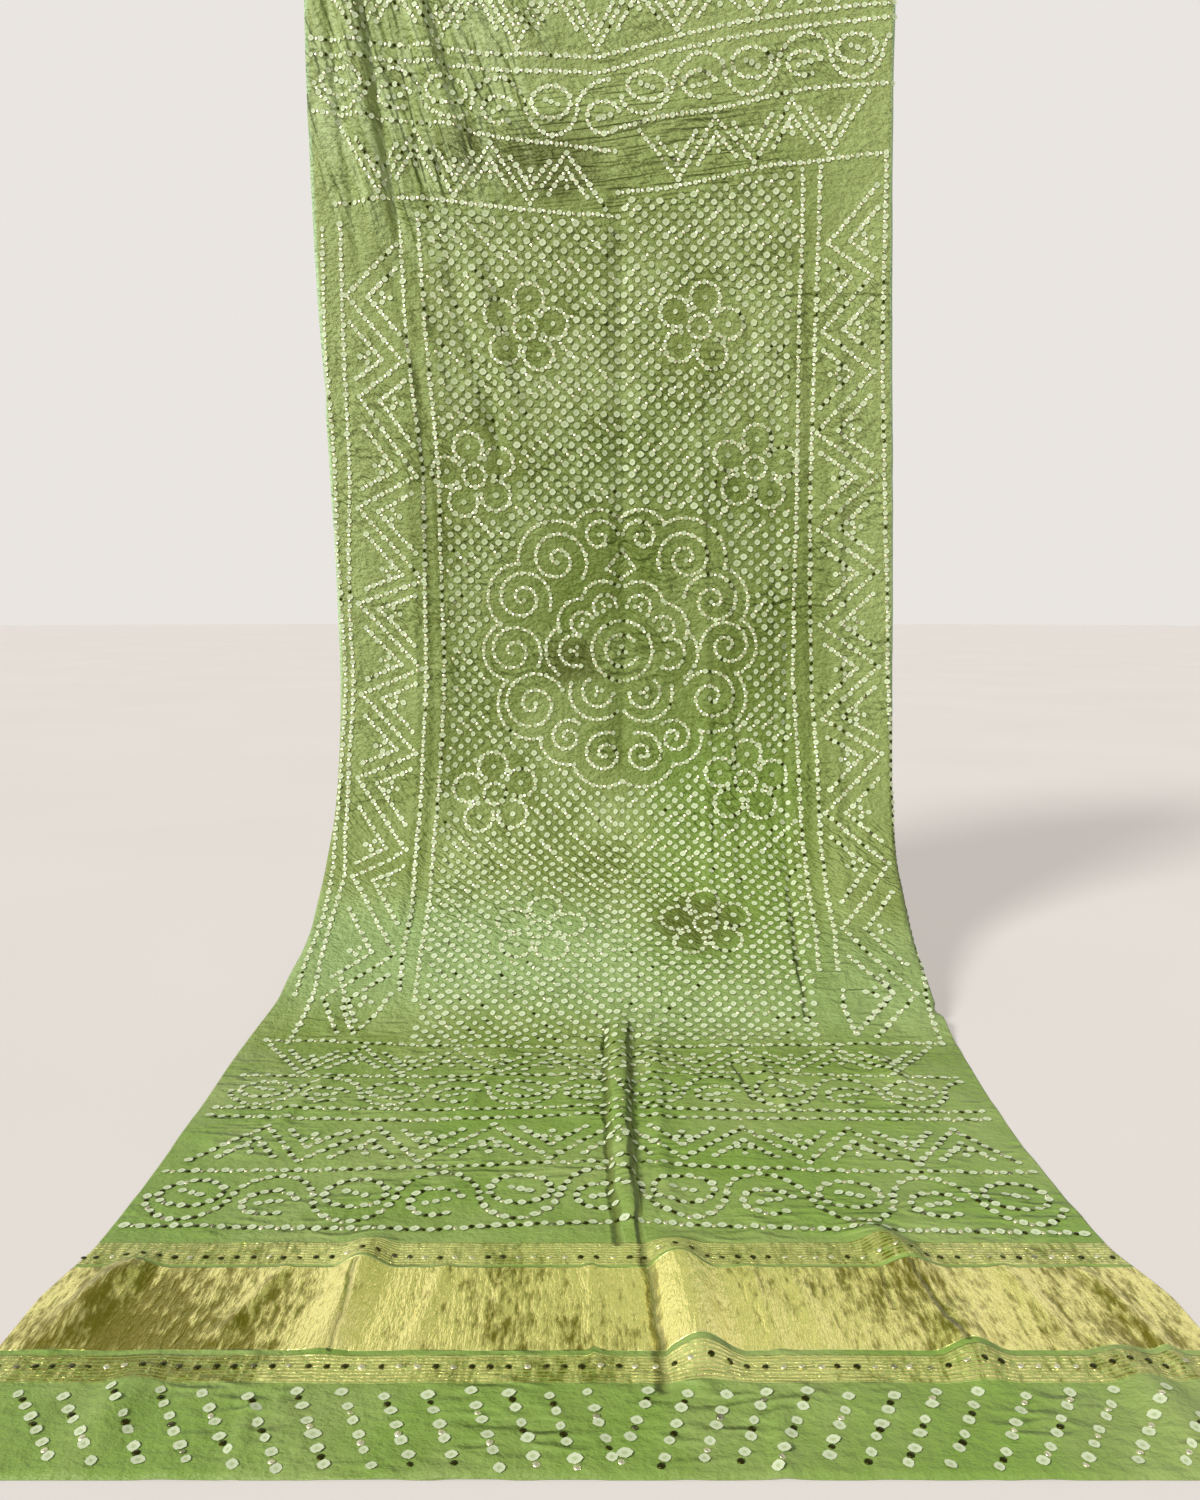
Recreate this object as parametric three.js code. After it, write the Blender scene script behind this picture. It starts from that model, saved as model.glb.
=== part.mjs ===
// Bandhani cloth: a long tied and dyed silk shawl with a woven gold band near its end.
// It hangs from its top edge, curves out at the foot, and its lower end lies flat on the floor.
//
// Millimetres, +Z up. The origin is the middle of the top edge. +X runs across the cloth to the
// viewer's right, and -Y points from the cloth towards the viewer.

import * as THREE from 'three';

// Driving dimensions

const DROP = 1520;
const HANGING_WIDTH = 870;
const END_WIDTH = 912;
const THICKNESS = 2;

// Facets: strips across the open face, and strips along each stretch of its length
const STRIPS_ACROSS = 36;
const STRETCHES = [
  { until: 1050, strips: 12 },
  { until: 1900, strips: 19 },
  { until: 2180, strips: 7 },
  { until: Infinity, strips: 14 },
];

// One row for each section down the cloth, from the top edge to the front hem: how far it stands
// in front of the hanging plane, its height above the floor, the middle of its width, the width
// that faces the viewer, and how much of each edge is turned back behind it. It spreads where its
// edges open out at the foot, and is widest at its woven end, which has no tied dots to draw it in.
const SECTIONS = [
  { forward: 0, height: DROP, middle: 0, width: HANGING_WIDTH, leftTurn: 0, rightTurn: 24 },
  { forward: 4, height: 1300, middle: 1, width: HANGING_WIDTH, leftTurn: 0, rightTurn: 26 },
  { forward: 5, height: 1010, middle: 8, width: HANGING_WIDTH, leftTurn: 4, rightTurn: 27 },
  { forward: 1, height: 720, middle: 19, width: HANGING_WIDTH, leftTurn: 15, rightTurn: 26 },
  { forward: 0, height: 560, middle: 24, width: HANGING_WIDTH, leftTurn: 20, rightTurn: 29 },
  { forward: 8, height: 406, middle: 26, width: HANGING_WIDTH, leftTurn: 22, rightTurn: 34 },
  { forward: 42, height: 252, middle: 23, width: HANGING_WIDTH, leftTurn: 22, rightTurn: 38 },
  { forward: 84, height: 181, middle: 19, width: HANGING_WIDTH, leftTurn: 15, rightTurn: 41 },
  { forward: 158, height: 122, middle: 17, width: 867, leftTurn: 10, rightTurn: 43 },
  { forward: 245, height: 73, middle: 12, width: 867, leftTurn: 7, rightTurn: 38 },
  { forward: 334, height: 31, middle: 9, width: 875, leftTurn: 0, rightTurn: 11 },
  { forward: 366, height: 16, middle: 5, width: 890, leftTurn: 0, rightTurn: 0 },
  { forward: 400, height: 6, middle: 2, width: 896, leftTurn: 0, rightTurn: 0 },
  { forward: 440, height: 1, middle: 0, width: 898, leftTurn: 0, rightTurn: 0 },
  { forward: 490, height: 0, middle: -1, width: 893, leftTurn: 0, rightTurn: 0 },
  { forward: 579, height: 0, middle: -2, width: 881, leftTurn: 0, rightTurn: 0 },
  { forward: 700, height: 0, middle: -2, width: 871, leftTurn: 0, rightTurn: 0 },
  { forward: 800, height: 0, middle: 0, width: 870, leftTurn: 0, rightTurn: 0 },
  { forward: 885, height: 0, middle: 2, width: 876, leftTurn: 0, rightTurn: 0 },
  { forward: 957, height: 0, middle: 5, width: 908, leftTurn: 0, rightTurn: 0 },
  { forward: 1150, height: 0, middle: 5, width: END_WIDTH, leftTurn: 0, rightTurn: 0 },
];

// How an edge rolls back: for each step from the start of the roll to the selvedge, the share of
// its length covered and the share of the bend made by then. An edge turned back by FULL_TURN or
// more is folded flat against the back; one turned back less is only rolled part of the way.
const EDGE_ROLL = 9;
const FULL_TURN = 20;
const ROLL_STEPS = [
  { length: 0.1, bend: 0.25 },
  { length: 0.2, bend: 0.5 },
  { length: 0.3, bend: 0.75 },
  { length: 0.4, bend: 1 },
  { length: 1, bend: 1 },
];

// One row for each soft fold: the two ends of its ridge, as places across the cloth from its
// middle and along it from the top edge, half its spread, and how high it stands off the sheet.
// A negative rise is a trough. Only the hanging part has troughs.
const FOLDS = [
  { name: 'fan, outer', from: [-385, -40], to: [-330, 420], spread: 26, rise: 9 },
  { name: 'fan, second', from: [-350, -60], to: [-262, 380], spread: 24, rise: -8 },
  { name: 'fan, third', from: [-318, -60], to: [-205, 340], spread: 24, rise: 9 },
  { name: 'fan, fourth', from: [-275, -60], to: [-140, 260], spread: 24, rise: -7 },
  { name: 'fan, inner', from: [-235, -60], to: [-80, 190], spread: 24, rise: 6 },
  { name: 'pull under the top', from: [-190, 245], to: [180, 235], spread: 26, rise: 4 },
  { name: 'middle crease', from: [26, 300], to: [6, 1260], spread: 26, rise: -4 },
  { name: 'right crease', from: [142, 560], to: [158, 1560], spread: 30, rise: 5 },
  { name: 'left hang', from: [-300, 460], to: [-290, 1420], spread: 60, rise: 6 },
  { name: 'middle tuck', from: [22, 1660], to: [30, 2205], spread: 27, rise: 9 },
  { name: 'band, left corner roll', from: [-384, 2196], to: [-424, 2350], spread: 30, rise: 15 },
  { name: 'band, left fold', from: [-196, 2160], to: [-214, 2360], spread: 28, rise: 11 },
  { name: 'band, middle hump', from: [58, 2170], to: [74, 2400], spread: 34, rise: 17 },
  { name: 'band, right fold, upper', from: [222, 2150], to: [276, 2272], spread: 30, rise: 14 },
  { name: 'band, right fold, lower', from: [276, 2272], to: [268, 2400], spread: 30, rise: 12 },
  { name: 'end strip, left ripple', from: [-330, 2330], to: [-350, 2480], spread: 30, rise: 6 },
  { name: 'end strip, right ripple', from: [372, 2300], to: [396, 2470], spread: 30, rise: 7 },
];
const FOLD_FADE = 70;

const CLOTH_GREEN = 0x8fa857;

// The line down the middle of the cloth, from which each section is placed

const centreLine = new THREE.CatmullRomCurve3(
  SECTIONS.map(({ forward, height, middle }) => new THREE.Vector3(middle, -forward, height - DROP)),
  false,
  'centripetal',
);
centreLine.arcLengthDivisions = 1600;
const CLOTH_LENGTH = centreLine.getLength();

/** Place, direction down the cloth, width and turned edges of the section at a distance along. */
function sectionAt(along) {
  const share = THREE.MathUtils.clamp(along / CLOTH_LENGTH, 0, 1);
  const centre = centreLine.getPointAt(share);
  centre.z = Math.max(centre.z, -DROP);

  const down = centreLine.getTangentAt(share);
  down.x = 0;
  if (centre.z === -DROP) down.z = 0;
  down.normalize();

  const row = centreLine.getUtoTmapping(share) * (SECTIONS.length - 1);
  const above = Math.min(Math.floor(row), SECTIONS.length - 2);
  const between = (key) =>
    THREE.MathUtils.lerp(SECTIONS[above][key], SECTIONS[above + 1][key], row - above);
  return {
    centre,
    down,
    width: between('width'),
    leftTurn: between('leftTurn'),
    rightTurn: between('rightTurn'),
  };
}

/** Height of one fold at a place on the cloth: a soft round ridge that fades at both ends. */
function foldRise({ from, to, spread, rise }, across, along) {
  const start = new THREE.Vector2(...from);
  const run = new THREE.Vector2(...to).sub(start);
  const offset = new THREE.Vector2(across, along).sub(start);
  const reach = run.length();
  const travelled = offset.dot(run) / reach;
  const aside = Math.abs(offset.cross(run)) / reach;
  if (aside >= spread || travelled <= 0 || travelled >= reach) return 0;

  const fade = Math.min(FOLD_FADE, reach / 2);
  const nearestEnd = Math.min(travelled, reach - travelled);
  const ends = THREE.MathUtils.smoothstep(nearestEnd, 0, fade);
  return rise * ends * 0.5 * (1 + Math.cos((Math.PI * aside) / spread));
}

/** How far the folds lift the back of the sheet at a place on the cloth. */
function liftAt(across, along) {
  return FOLDS.reduce((sum, fold) => sum + foldRise(fold, across, along), 0);
}

/**
 * Outline of one rolled edge, from where its roll starts to the selvedge: how far each point lies
 * out past that start, how far behind the face it sinks, and how far the sheet has tilted there.
 */
function edgeRoll(turned) {
  const length = EDGE_ROLL + turned;
  const fullBend = Math.PI * THREE.MathUtils.smoothstep(turned, 0, FULL_TURN);
  const points = [{ out: 0, sunk: 0, tilt: 0 }];
  let covered = 0;
  for (const step of ROLL_STEPS) {
    const last = points.at(-1);
    const tilt = fullBend * step.bend;
    const heading = (last.tilt + tilt) / 2;
    const run = (step.length - covered) * length;
    points.push({
      out: last.out + run * Math.cos(heading),
      sunk: last.sunk + run * Math.sin(heading),
      tilt,
    });
    covered = step.length;
  }
  return points;
}

/**
 * Places across one section, from the left selvedge to the right one: distance from the middle,
 * depth behind the face, tilt of the sheet, and the distance across at which its folds are read.
 */
function placesAcross({ width, leftTurn, rightTurn }) {
  const rolled = (side, turned) => {
    const roll = edgeRoll(turned);
    const reach = Math.max(...roll.map(({ out, tilt }) => out + THICKNESS * Math.sin(tilt)));
    const start = width / 2 - reach;
    return roll.map(({ out, sunk, tilt }) => ({
      across: side * (start + out),
      sunk,
      tilt: side * tilt,
      foldsAt: side * start,
    }));
  };
  const left = rolled(-1, leftTurn).reverse();
  const right = rolled(1, rightTurn);
  const from = left.at(-1).across;
  const to = right[0].across;
  const open = [];
  for (let strip = 1; strip < STRIPS_ACROSS; strip += 1) {
    const across = THREE.MathUtils.lerp(from, to, strip / STRIPS_ACROSS);
    open.push({ across, sunk: 0, tilt: 0, foldsAt: across });
  }
  return [...left, ...open, ...right];
}

/** Distances from the top edge at which the cloth's facets meet. */
function rowDistances() {
  const distances = [0];
  let start = 0;
  for (const { until, strips } of STRETCHES) {
    const end = Math.min(until, CLOTH_LENGTH);
    for (let strip = 1; strip <= strips; strip += 1) {
      distances.push(start + ((end - start) * strip) / strips);
    }
    start = end;
  }
  return distances;
}

/** Points of the back and of the front of the sheet at one distance from the top edge. */
function layersAt(along) {
  const section = sectionAt(along);
  const right = new THREE.Vector3(1, 0, 0);
  const outward = section.down.clone().cross(right);
  const back = [];
  const front = [];
  for (const { across, sunk, tilt, foldsAt } of placesAcross(section)) {
    const facing = outward.clone().multiplyScalar(Math.cos(tilt));
    facing.addScaledVector(right, Math.sin(tilt));
    const point = section.centre.clone().addScaledVector(right, across);
    point.addScaledVector(outward, liftAt(foldsAt, along) - sunk);
    back.push(point);
    front.push(point.clone().addScaledVector(facing, THICKNESS));
  }
  return { back, front };
}

/** The whole cloth as one closed sheet: a back, a front and the rim that joins them. */
function sheetGeometry() {
  const rows = rowDistances().map(layersAt);
  const columns = rows[0].back.length;
  const layerSize = rows.length * columns;
  const points = [...rows.flatMap(({ back }) => back), ...rows.flatMap(({ front }) => front)];

  const corner = (layer, row, column) => layer * layerSize + row * columns + column;
  const triangles = [];
  const addQuad = (a, b, c, d) => triangles.push(a, b, c, a, c, d);
  const lastRow = rows.length - 1;
  const lastColumn = columns - 1;
  for (let row = 0; row < lastRow; row += 1) {
    for (let column = 0; column < lastColumn; column += 1) {
      const corners = (layer) => [
        corner(layer, row, column),
        corner(layer, row + 1, column),
        corner(layer, row + 1, column + 1),
        corner(layer, row, column + 1),
      ];
      addQuad(...corners(1));
      addQuad(...corners(0).reverse());
    }
    addQuad(corner(0, row, 0), corner(0, row + 1, 0), corner(1, row + 1, 0), corner(1, row, 0));
    addQuad(
      corner(1, row, lastColumn),
      corner(1, row + 1, lastColumn),
      corner(0, row + 1, lastColumn),
      corner(0, row, lastColumn),
    );
  }
  for (let column = 0; column < lastColumn; column += 1) {
    addQuad(
      corner(0, 0, column),
      corner(1, 0, column),
      corner(1, 0, column + 1),
      corner(0, 0, column + 1),
    );
    addQuad(
      corner(1, lastRow, column),
      corner(0, lastRow, column),
      corner(0, lastRow, column + 1),
      corner(1, lastRow, column + 1),
    );
  }

  const geometry = new THREE.BufferGeometry().setFromPoints(points);
  geometry.setIndex(triangles);
  geometry.computeVertexNormals();
  return geometry;
}

function makeCloth() {
  const silk = new THREE.MeshStandardMaterial({ color: CLOTH_GREEN, roughness: 0.55, metalness: 0 });
  const cloth = new THREE.Mesh(sheetGeometry(), silk);
  cloth.name = 'bandhani_cloth';
  return cloth;
}

const part = new THREE.Group();
part.add(makeCloth());

export default part;
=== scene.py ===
"""Bandhani cloth: crinkled silk tied and dyed green, with tied dots, sequins and a woven gold band."""

import logging
import math
from dataclasses import dataclass, field
from enum import Enum

import bmesh
import bpy
import numpy as np
from mathutils import Matrix, Vector
from mathutils.bvhtree import BVHTree
from mathutils.kdtree import KDTree


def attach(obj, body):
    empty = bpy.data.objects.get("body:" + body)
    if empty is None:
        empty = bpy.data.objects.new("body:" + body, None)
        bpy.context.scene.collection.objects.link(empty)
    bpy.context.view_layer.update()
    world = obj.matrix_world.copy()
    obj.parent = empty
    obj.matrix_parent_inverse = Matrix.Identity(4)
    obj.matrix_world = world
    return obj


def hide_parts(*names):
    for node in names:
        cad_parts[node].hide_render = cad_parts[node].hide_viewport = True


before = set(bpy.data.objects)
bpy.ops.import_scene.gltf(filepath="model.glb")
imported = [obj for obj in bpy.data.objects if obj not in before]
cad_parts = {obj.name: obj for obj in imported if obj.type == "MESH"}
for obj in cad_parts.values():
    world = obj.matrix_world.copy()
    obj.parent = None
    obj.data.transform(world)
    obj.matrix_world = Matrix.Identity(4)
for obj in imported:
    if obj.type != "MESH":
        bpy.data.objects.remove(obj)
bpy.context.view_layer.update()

log = logging.getLogger("bandhani_cloth")

MM = 0.001
DROP = 1520.0
SILK_THICKNESS = 0.5
SILK_FACE = 1.1
BACK_OF_DOT = -0.56
LOWEST_DOT = 0.1
LOWEST_FACE = 0.85

Colour = tuple[float, float, float, float]
Patch = tuple[float, float, float, float]
Mark = tuple[float, float, float]
Spot = tuple[float, float]
Shape = tuple[np.ndarray, list[tuple[int, ...]], np.ndarray]


# The drape


@dataclass(frozen=True)
class Section:
    """One section across the cloth, in millimetres.

    forward is its distance in front of the hanging plane, height its height above the floor,
    middle the middle of its width, and the turns are how much of each edge is turned back.
    """

    forward: float
    height: float
    middle: float
    width: float
    left_turn: float
    right_turn: float


# Each row: forward, height, middle, width, left turn, right turn.
SECTIONS = tuple(Section(*row) for row in (
    (0, 1520, 0, 870, 0, 24),
    (4, 1300, 1, 870, 0, 26),
    (5, 1010, 8, 870, 4, 27),
    (1, 720, 19, 870, 15, 26),
    (0, 560, 24, 870, 20, 29),
    (8, 406, 26, 870, 22, 34),
    (42, 252, 23, 870, 22, 38),
    (84, 181, 19, 870, 15, 41),
    (158, 122, 17, 867, 10, 43),
    (245, 73, 12, 867, 7, 38),
    (334, 31, 9, 875, 0, 11),
    (366, 16, 5, 890, 0, 0),
    (400, 6, 2, 896, 0, 0),
    (440, 1, 0, 898, 0, 0),
    (490, 0, -1, 893, 0, 0),
    (579, 0, -2, 881, 0, 0),
    (700, 0, -2, 871, 0, 0),
    (800, 0, 0, 870, 0, 0),
    (885, 0, 2, 876, 0, 0),
    (957, 0, 5, 908, 0, 0),
    (1150, 0, 5, 912, 0, 0),
))
EDGE_ROLL = 9.0
FULL_TURN = 20.0
ROLL_BEND_SHARE = 0.4


@dataclass(frozen=True)
class Fold:
    """A soft ridge between two places (across, along), in millimetres; a trough has a negative rise."""

    start: Spot
    end: Spot
    spread: float
    rise: float
    fade: float = 70.0


# Each row: across and along of the start, those of the end, spread, rise and, where it isn't 70, fade.
FOLDS = tuple(Fold(row[:2], row[2:4], *row[4:]) for row in (
    (-385, -40, -330, 420, 26, 9),
    (-350, -60, -262, 380, 24, -8),
    (-318, -60, -205, 340, 24, 9),
    (-275, -60, -140, 260, 24, -7),
    (-235, -60, -80, 190, 24, 6),
    (-190, 245, 180, 235, 26, 4),
    (26, 300, 6, 1260, 26, -4),
    (142, 560, 158, 1560, 30, 5),
    (-300, 460, -290, 1420, 60, 6),
    (22, 1660, 30, 2205, 27, 9),
    (-384, 2196, -424, 2350, 30, 15),
    (-196, 2160, -214, 2360, 28, 11),
    (58, 2170, 74, 2400, 34, 17),
    (222, 2150, 276, 2272, 30, 14),
    (276, 2272, 268, 2400, 30, 12),
    (-330, 2330, -350, 2480, 30, 6),
    (372, 2300, 396, 2470, 30, 7),
    (-408, 10, -366, 500, 10, -5),
    (-392, -20, -340, 460, 10, 5),
    (-362, -20, -300, 470, 10, -7),
    (-338, -20, -262, 420, 10, 5),
    (-322, -20, -228, 380, 9, -6),
    (-296, -10, -190, 350, 9, 5),
    (-282, -10, -168, 330, 9, -6),
    (-254, -10, -120, 310, 9, 5),
    (-228, -10, -88, 270, 10, -5),
    (-190, -10, -50, 220, 11, 4),
    (-160, -10, -20, 190, 11, -4),
    (-120, -10, 20, 120, 11, 3),
    (-330, 420, -262, 760, 11, -4),
    (-300, 430, -236, 700, 10, 3),
    (-246, 410, -160, 770, 19, -5.5),
    (-214, 400, -128, 720, 21, 4.5),
    (-190, 400, -120, 640, 10, -3),
    (-186, 560, -166, 800, 11, -4),
    (-60, 348, 170, 300, 7, -3.5, 40),
    (-40, 330, 230, 272, 7, 2.5, 40),
    (-20, 318, 250, 258, 7, -3, 40),
    (-150, 250, 20, 268, 8, -3, 40),
    (40, 226, 330, 150, 9, -3, 60),
    (60, 205, 330, 132, 9, 2.5, 60),
    (28, 330, 10, 1240, 8, -1.5),
    (146, 600, 160, 1560, 11, -3.5),
    (170, 640, 184, 1500, 13, 2.5),
    (214, 480, 232, 900, 15, -2.5),
    (252, 620, 250, 1500, 15, -2.5),
    (-288, 480, -284, 1560, 9, -3),
    (-318, 700, -308, 1540, 10, 2.5),
    (308, 400, 306, 1560, 12, -2.5),
    (350, 520, 346, 1500, 14, 2.5),
    (268, 930, 264, 1700, 8, -4, 110),
    (-90, 1052, -235, 1072, 7, -2.5, 30),
    (-86, 1028, -215, 1010, 7, -2.2, 30),
    (66, 1000, 196, 975, 7, -2.2, 30),
    (40, 1105, 150, 1118, 7, -2, 30),
    (78, 1638, 60, 1712, 6, -3.5, 24),
    (4, 1670, 8, 2206, 8, -4.5),
    (42, 1680, 38, 2206, 8, -5),
    (68, 1690, 62, 2196, 16, 3),
    (-150, 1720, -196, 1880, 9, -3.5, 50),
    (-120, 1770, -150, 1960, 12, 3, 50),
    (160, 1740, 182, 1990, 9, -4, 60),
    (190, 1760, 214, 1960, 12, 3, 60),
    (330, 1720, 362, 1900, 14, 3, 60),
    (-310, 1800, -350, 2000, 14, 3, 60),
    (-12, 2205, -8, 2380, 7, 3, 30),
    (10, 2200, 14, 2390, 7, -4, 30),
    (34, 2180, 40, 2395, 9, -9, 30),
    (118, 2215, 132, 2360, 10, 3.5, 40),
    (96, 2215, 106, 2360, 8, -3, 40),
    (-262, 2220, -300, 2350, 10, 5, 40),
    (-130, 2215, -150, 2350, 11, 4, 40),
    (-80, 2225, -92, 2340, 8, 3, 40),
    (-330, 2225, -372, 2350, 10, -4, 40),
    (-172, 2225, -186, 2350, 8, -5, 40),
    (330, 2215, 352, 2345, 13, 5, 40),
    (398, 2225, 424, 2400, 12, 5, 40),
    (190, 2225, 206, 2350, 10, -4, 40),
    (152, 2225, 166, 2350, 9, 3, 40),
    (-250, 2385, -238, 2480, 9, 2.5, 30),
    (-180, 2390, -196, 2480, 9, -2.5, 30),
    (120, 2385, 112, 2480, 9, 2.5, 30),
    (240, 2390, 256, 2480, 9, -2.5, 30),
    (0, 2385, 4, 2480, 8, -3, 30),
))


def smooth(share: np.ndarray) -> np.ndarray:
    """Eases a share from 0 to 1 at both of its ends."""
    return share * share * (3 - 2 * share)


class Unevenness:
    """Smooth, seeded unevenness over a sheet."""

    def __init__(self, seed: int, cell_across: float, cell_along: float) -> None:
        """Keeps a table of random heights, one for each cell corner.

        Args:
            seed: Picks the table.
            cell_across: Size of a cell across the cloth, in millimetres.
            cell_along: Size of a cell along the cloth, in millimetres.
        """
        self.cell = (cell_across, cell_along)
        shape = (int(1200 / cell_across) + 4, int(2800 / cell_along) + 4)
        self.heights = np.random.default_rng(seed).uniform(-1.0, 1.0, shape)

    def at(self, across: np.ndarray, along: np.ndarray) -> np.ndarray:
        """Unevenness at places on the cloth.

        Args:
            across: Distances from the middle, in millimetres.
            along: Distances from the top edge, in millimetres.

        Returns:
            Heights from -1 to 1.
        """
        u = np.clip((np.asarray(across) + 600) / self.cell[0], 0, self.heights.shape[0] - 2)
        v = np.clip((np.asarray(along) + 60) / self.cell[1], 0, self.heights.shape[1] - 2)
        i = np.floor(u).astype(int)
        j = np.floor(v).astype(int)
        s = smooth(u - i)
        t = smooth(v - j)
        h = self.heights
        top = h[i, j] * (1 - s) + h[i + 1, j] * s
        bottom = h[i, j + 1] * (1 - s) + h[i + 1, j + 1] * s
        return top * (1 - t) + bottom * t


class Drape:
    """Where each place on the cloth lies in the room, in the frame's metres."""

    def __init__(self) -> None:
        """Samples the line down the middle of the cloth and what varies along it."""
        line, rows = self._middle_line()
        steps = np.linalg.norm(np.diff(line, axis=0), axis=1)
        self.reach = np.concatenate([[0.0], np.cumsum(steps)])
        self.length = float(self.reach[-1])
        line[:, 2] = np.maximum(line[:, 2], -DROP)
        self.line = line
        run = np.gradient(line[:, 1:], axis=0)
        run[line[:, 2] <= -DROP + 1e-6, 1] = 0.0
        self.down = run / np.linalg.norm(run, axis=1)[:, None]
        indices = np.arange(len(SECTIONS))
        self.varying = {
            name: np.interp(rows, indices, [getattr(section, name) for section in SECTIONS])
            for name in ("width", "left_turn", "right_turn")
        }
        self.crumple = Unevenness(11, 21, 26)
        self.ripple = Unevenness(12, 60, 44)

    @staticmethod
    def _middle_line(samples: int = 160) -> tuple[np.ndarray, np.ndarray]:
        """Draws a smooth line through the middles of the sections.

        Args:
            samples: Points on each stretch between two sections.

        Returns:
            The points, and the section number that each one stands at.
        """
        points = np.array([[s.middle, -s.forward, s.height - DROP] for s in SECTIONS], float)
        ends = np.vstack([2 * points[0] - points[1], points, 2 * points[-1] - points[-2]])
        gaps = np.linalg.norm(np.diff(ends, axis=0), axis=1) ** 0.5
        line = []
        rows = []
        for i in range(len(points) - 1):
            a, b, c, d = ends[i : i + 4]
            before, here, after = gaps[i : i + 3]
            start = ((b - a) / before - (c - a) / (before + here) + (c - b) / here) * here
            end = ((c - b) / here - (d - b) / (here + after) + (d - c) / after) * here
            t = np.arange(samples)[:, None] / samples
            bend = 2 * b - 2 * c + start + end
            turn = -3 * b + 3 * c - 2 * start - end
            line.append(b + start * t + turn * t**2 + bend * t**3)
            rows.append(i + t[:, 0])
        line.append(points[-1:])
        rows.append([len(points) - 1])
        return np.vstack(line), np.concatenate(rows)

    def along_table(self, values: np.ndarray, along: np.ndarray) -> np.ndarray:
        """Reads a table of the middle line at distances from the top edge."""
        return np.interp(along, self.reach, values)

    def roll(self, along: np.ndarray, turned: str) -> tuple[np.ndarray, np.ndarray, np.ndarray]:
        """Sizes of one rolled edge.

        Args:
            along: Distances from the top edge.
            turned: "left_turn" or "right_turn".

        Returns:
            Where the roll starts, as a distance from the middle, its length and its bend.
        """
        turn = self.along_table(self.varying[turned], along)
        width = self.along_table(self.varying["width"], along)
        length = EDGE_ROLL + turn
        t = np.clip(turn / FULL_TURN, 0, 1)
        bend = np.maximum(math.pi * t * t * (3 - 2 * t), 1e-3)
        arc = ROLL_BEND_SHARE * length
        radius = arc / bend
        quarter = np.minimum(bend, math.pi / 2)
        flat = np.where(bend < math.pi / 2, (length - arc) * np.cos(bend), 0.0)
        out = radius * np.sin(quarter) + flat + SILK_FACE * np.sin(quarter)
        return width / 2 - out, length, bend

    def lift(self, across: np.ndarray, along: np.ndarray) -> np.ndarray:
        """Height of the folds and of the crinkled silk over the smooth drape, in millimetres.

        Args:
            across: Distances from the middle, in millimetres.
            along: Distances from the top edge, in millimetres.

        Returns:
            One height for each place.
        """
        total = np.zeros(np.broadcast(across, along).shape)
        for fold in FOLDS:
            run = np.subtract(fold.end, fold.start)
            reach = float(np.hypot(*run))
            dx = across - fold.start[0]
            dy = along - fold.start[1]
            travelled = (dx * run[0] + dy * run[1]) / reach
            aside = np.abs(dx * run[1] - dy * run[0]) / reach
            fade = min(fold.fade, reach / 2)
            ends = smooth(np.clip(np.minimum(travelled, reach - travelled) / fade, 0, 1))
            share = np.clip(aside / fold.spread, 0, 1)
            total = total + fold.rise * ends * 0.5 * (1 + np.cos(math.pi * share))
        tied = np.clip((2190 - along) / 20, 0, 1)
        end_strip = np.clip((along - 2378) / 10, 0, 1)
        total = total + (tied + end_strip) * 0.9 * self.crumple.at(across, along)
        total = total + tied * 1.2 * self.ripple.at(across, along)
        return total

    def place(self, across: np.ndarray, along: np.ndarray) -> np.ndarray:
        """Places in the room of points on the front of the silk.

        Args:
            across: Distances from the middle, measured on the sheet, in millimetres.
            along: Distances from the top edge, in millimetres.

        Returns:
            Points in metres, one row each.
        """
        across, along = np.broadcast_arrays(np.asarray(across, float), np.asarray(along, float))
        middle = [self.along_table(self.line[:, k], along) for k in range(3)]
        down_y = self.along_table(self.down[:, 0], along)
        down_z = self.along_table(self.down[:, 1], along)
        size = np.hypot(down_y, down_z)
        outward = (down_z / size, -down_y / size)
        x = across.copy()
        sunk = np.zeros_like(x)
        tilt = np.zeros_like(x)
        folds_at = across.copy()
        for side, turned in ((-1, "left_turn"), (1, "right_turn")):
            start, length, bend = self.roll(along, turned)
            past = side * across - start
            arc = ROLL_BEND_SHARE * length
            radius = arc / bend
            angle = np.clip(past / radius, 0, bend)
            beyond = np.clip(past - arc, 0, None)
            rolled_x = start + radius * np.sin(angle) + beyond * np.cos(bend)
            rolled_in = radius * (1 - np.cos(angle)) + beyond * np.sin(bend)
            over = past > 0
            x = np.where(over, side * rolled_x, x)
            sunk = np.where(over, rolled_in, sunk)
            tilt = np.where(over, side * angle, tilt)
            folds_at = np.where(over, side * start, folds_at)
        off = self.lift(folds_at, along) - sunk + SILK_FACE * np.cos(tilt)
        x = x + middle[0] + SILK_FACE * np.sin(tilt)
        y = middle[1] + outward[0] * off
        z = np.maximum(middle[2] + outward[1] * off, -DROP + LOWEST_FACE)
        return np.stack([x, y, z], axis=-1) * MM


@dataclass(frozen=True)
class Crease:
    """A thin pressed crease between two places, in metres, pressed into the bump and darkened with painted
    shade; depth is 1 for the sharpest ones.
    """

    start: Spot
    end: Spot
    width: float
    depth: float


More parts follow.
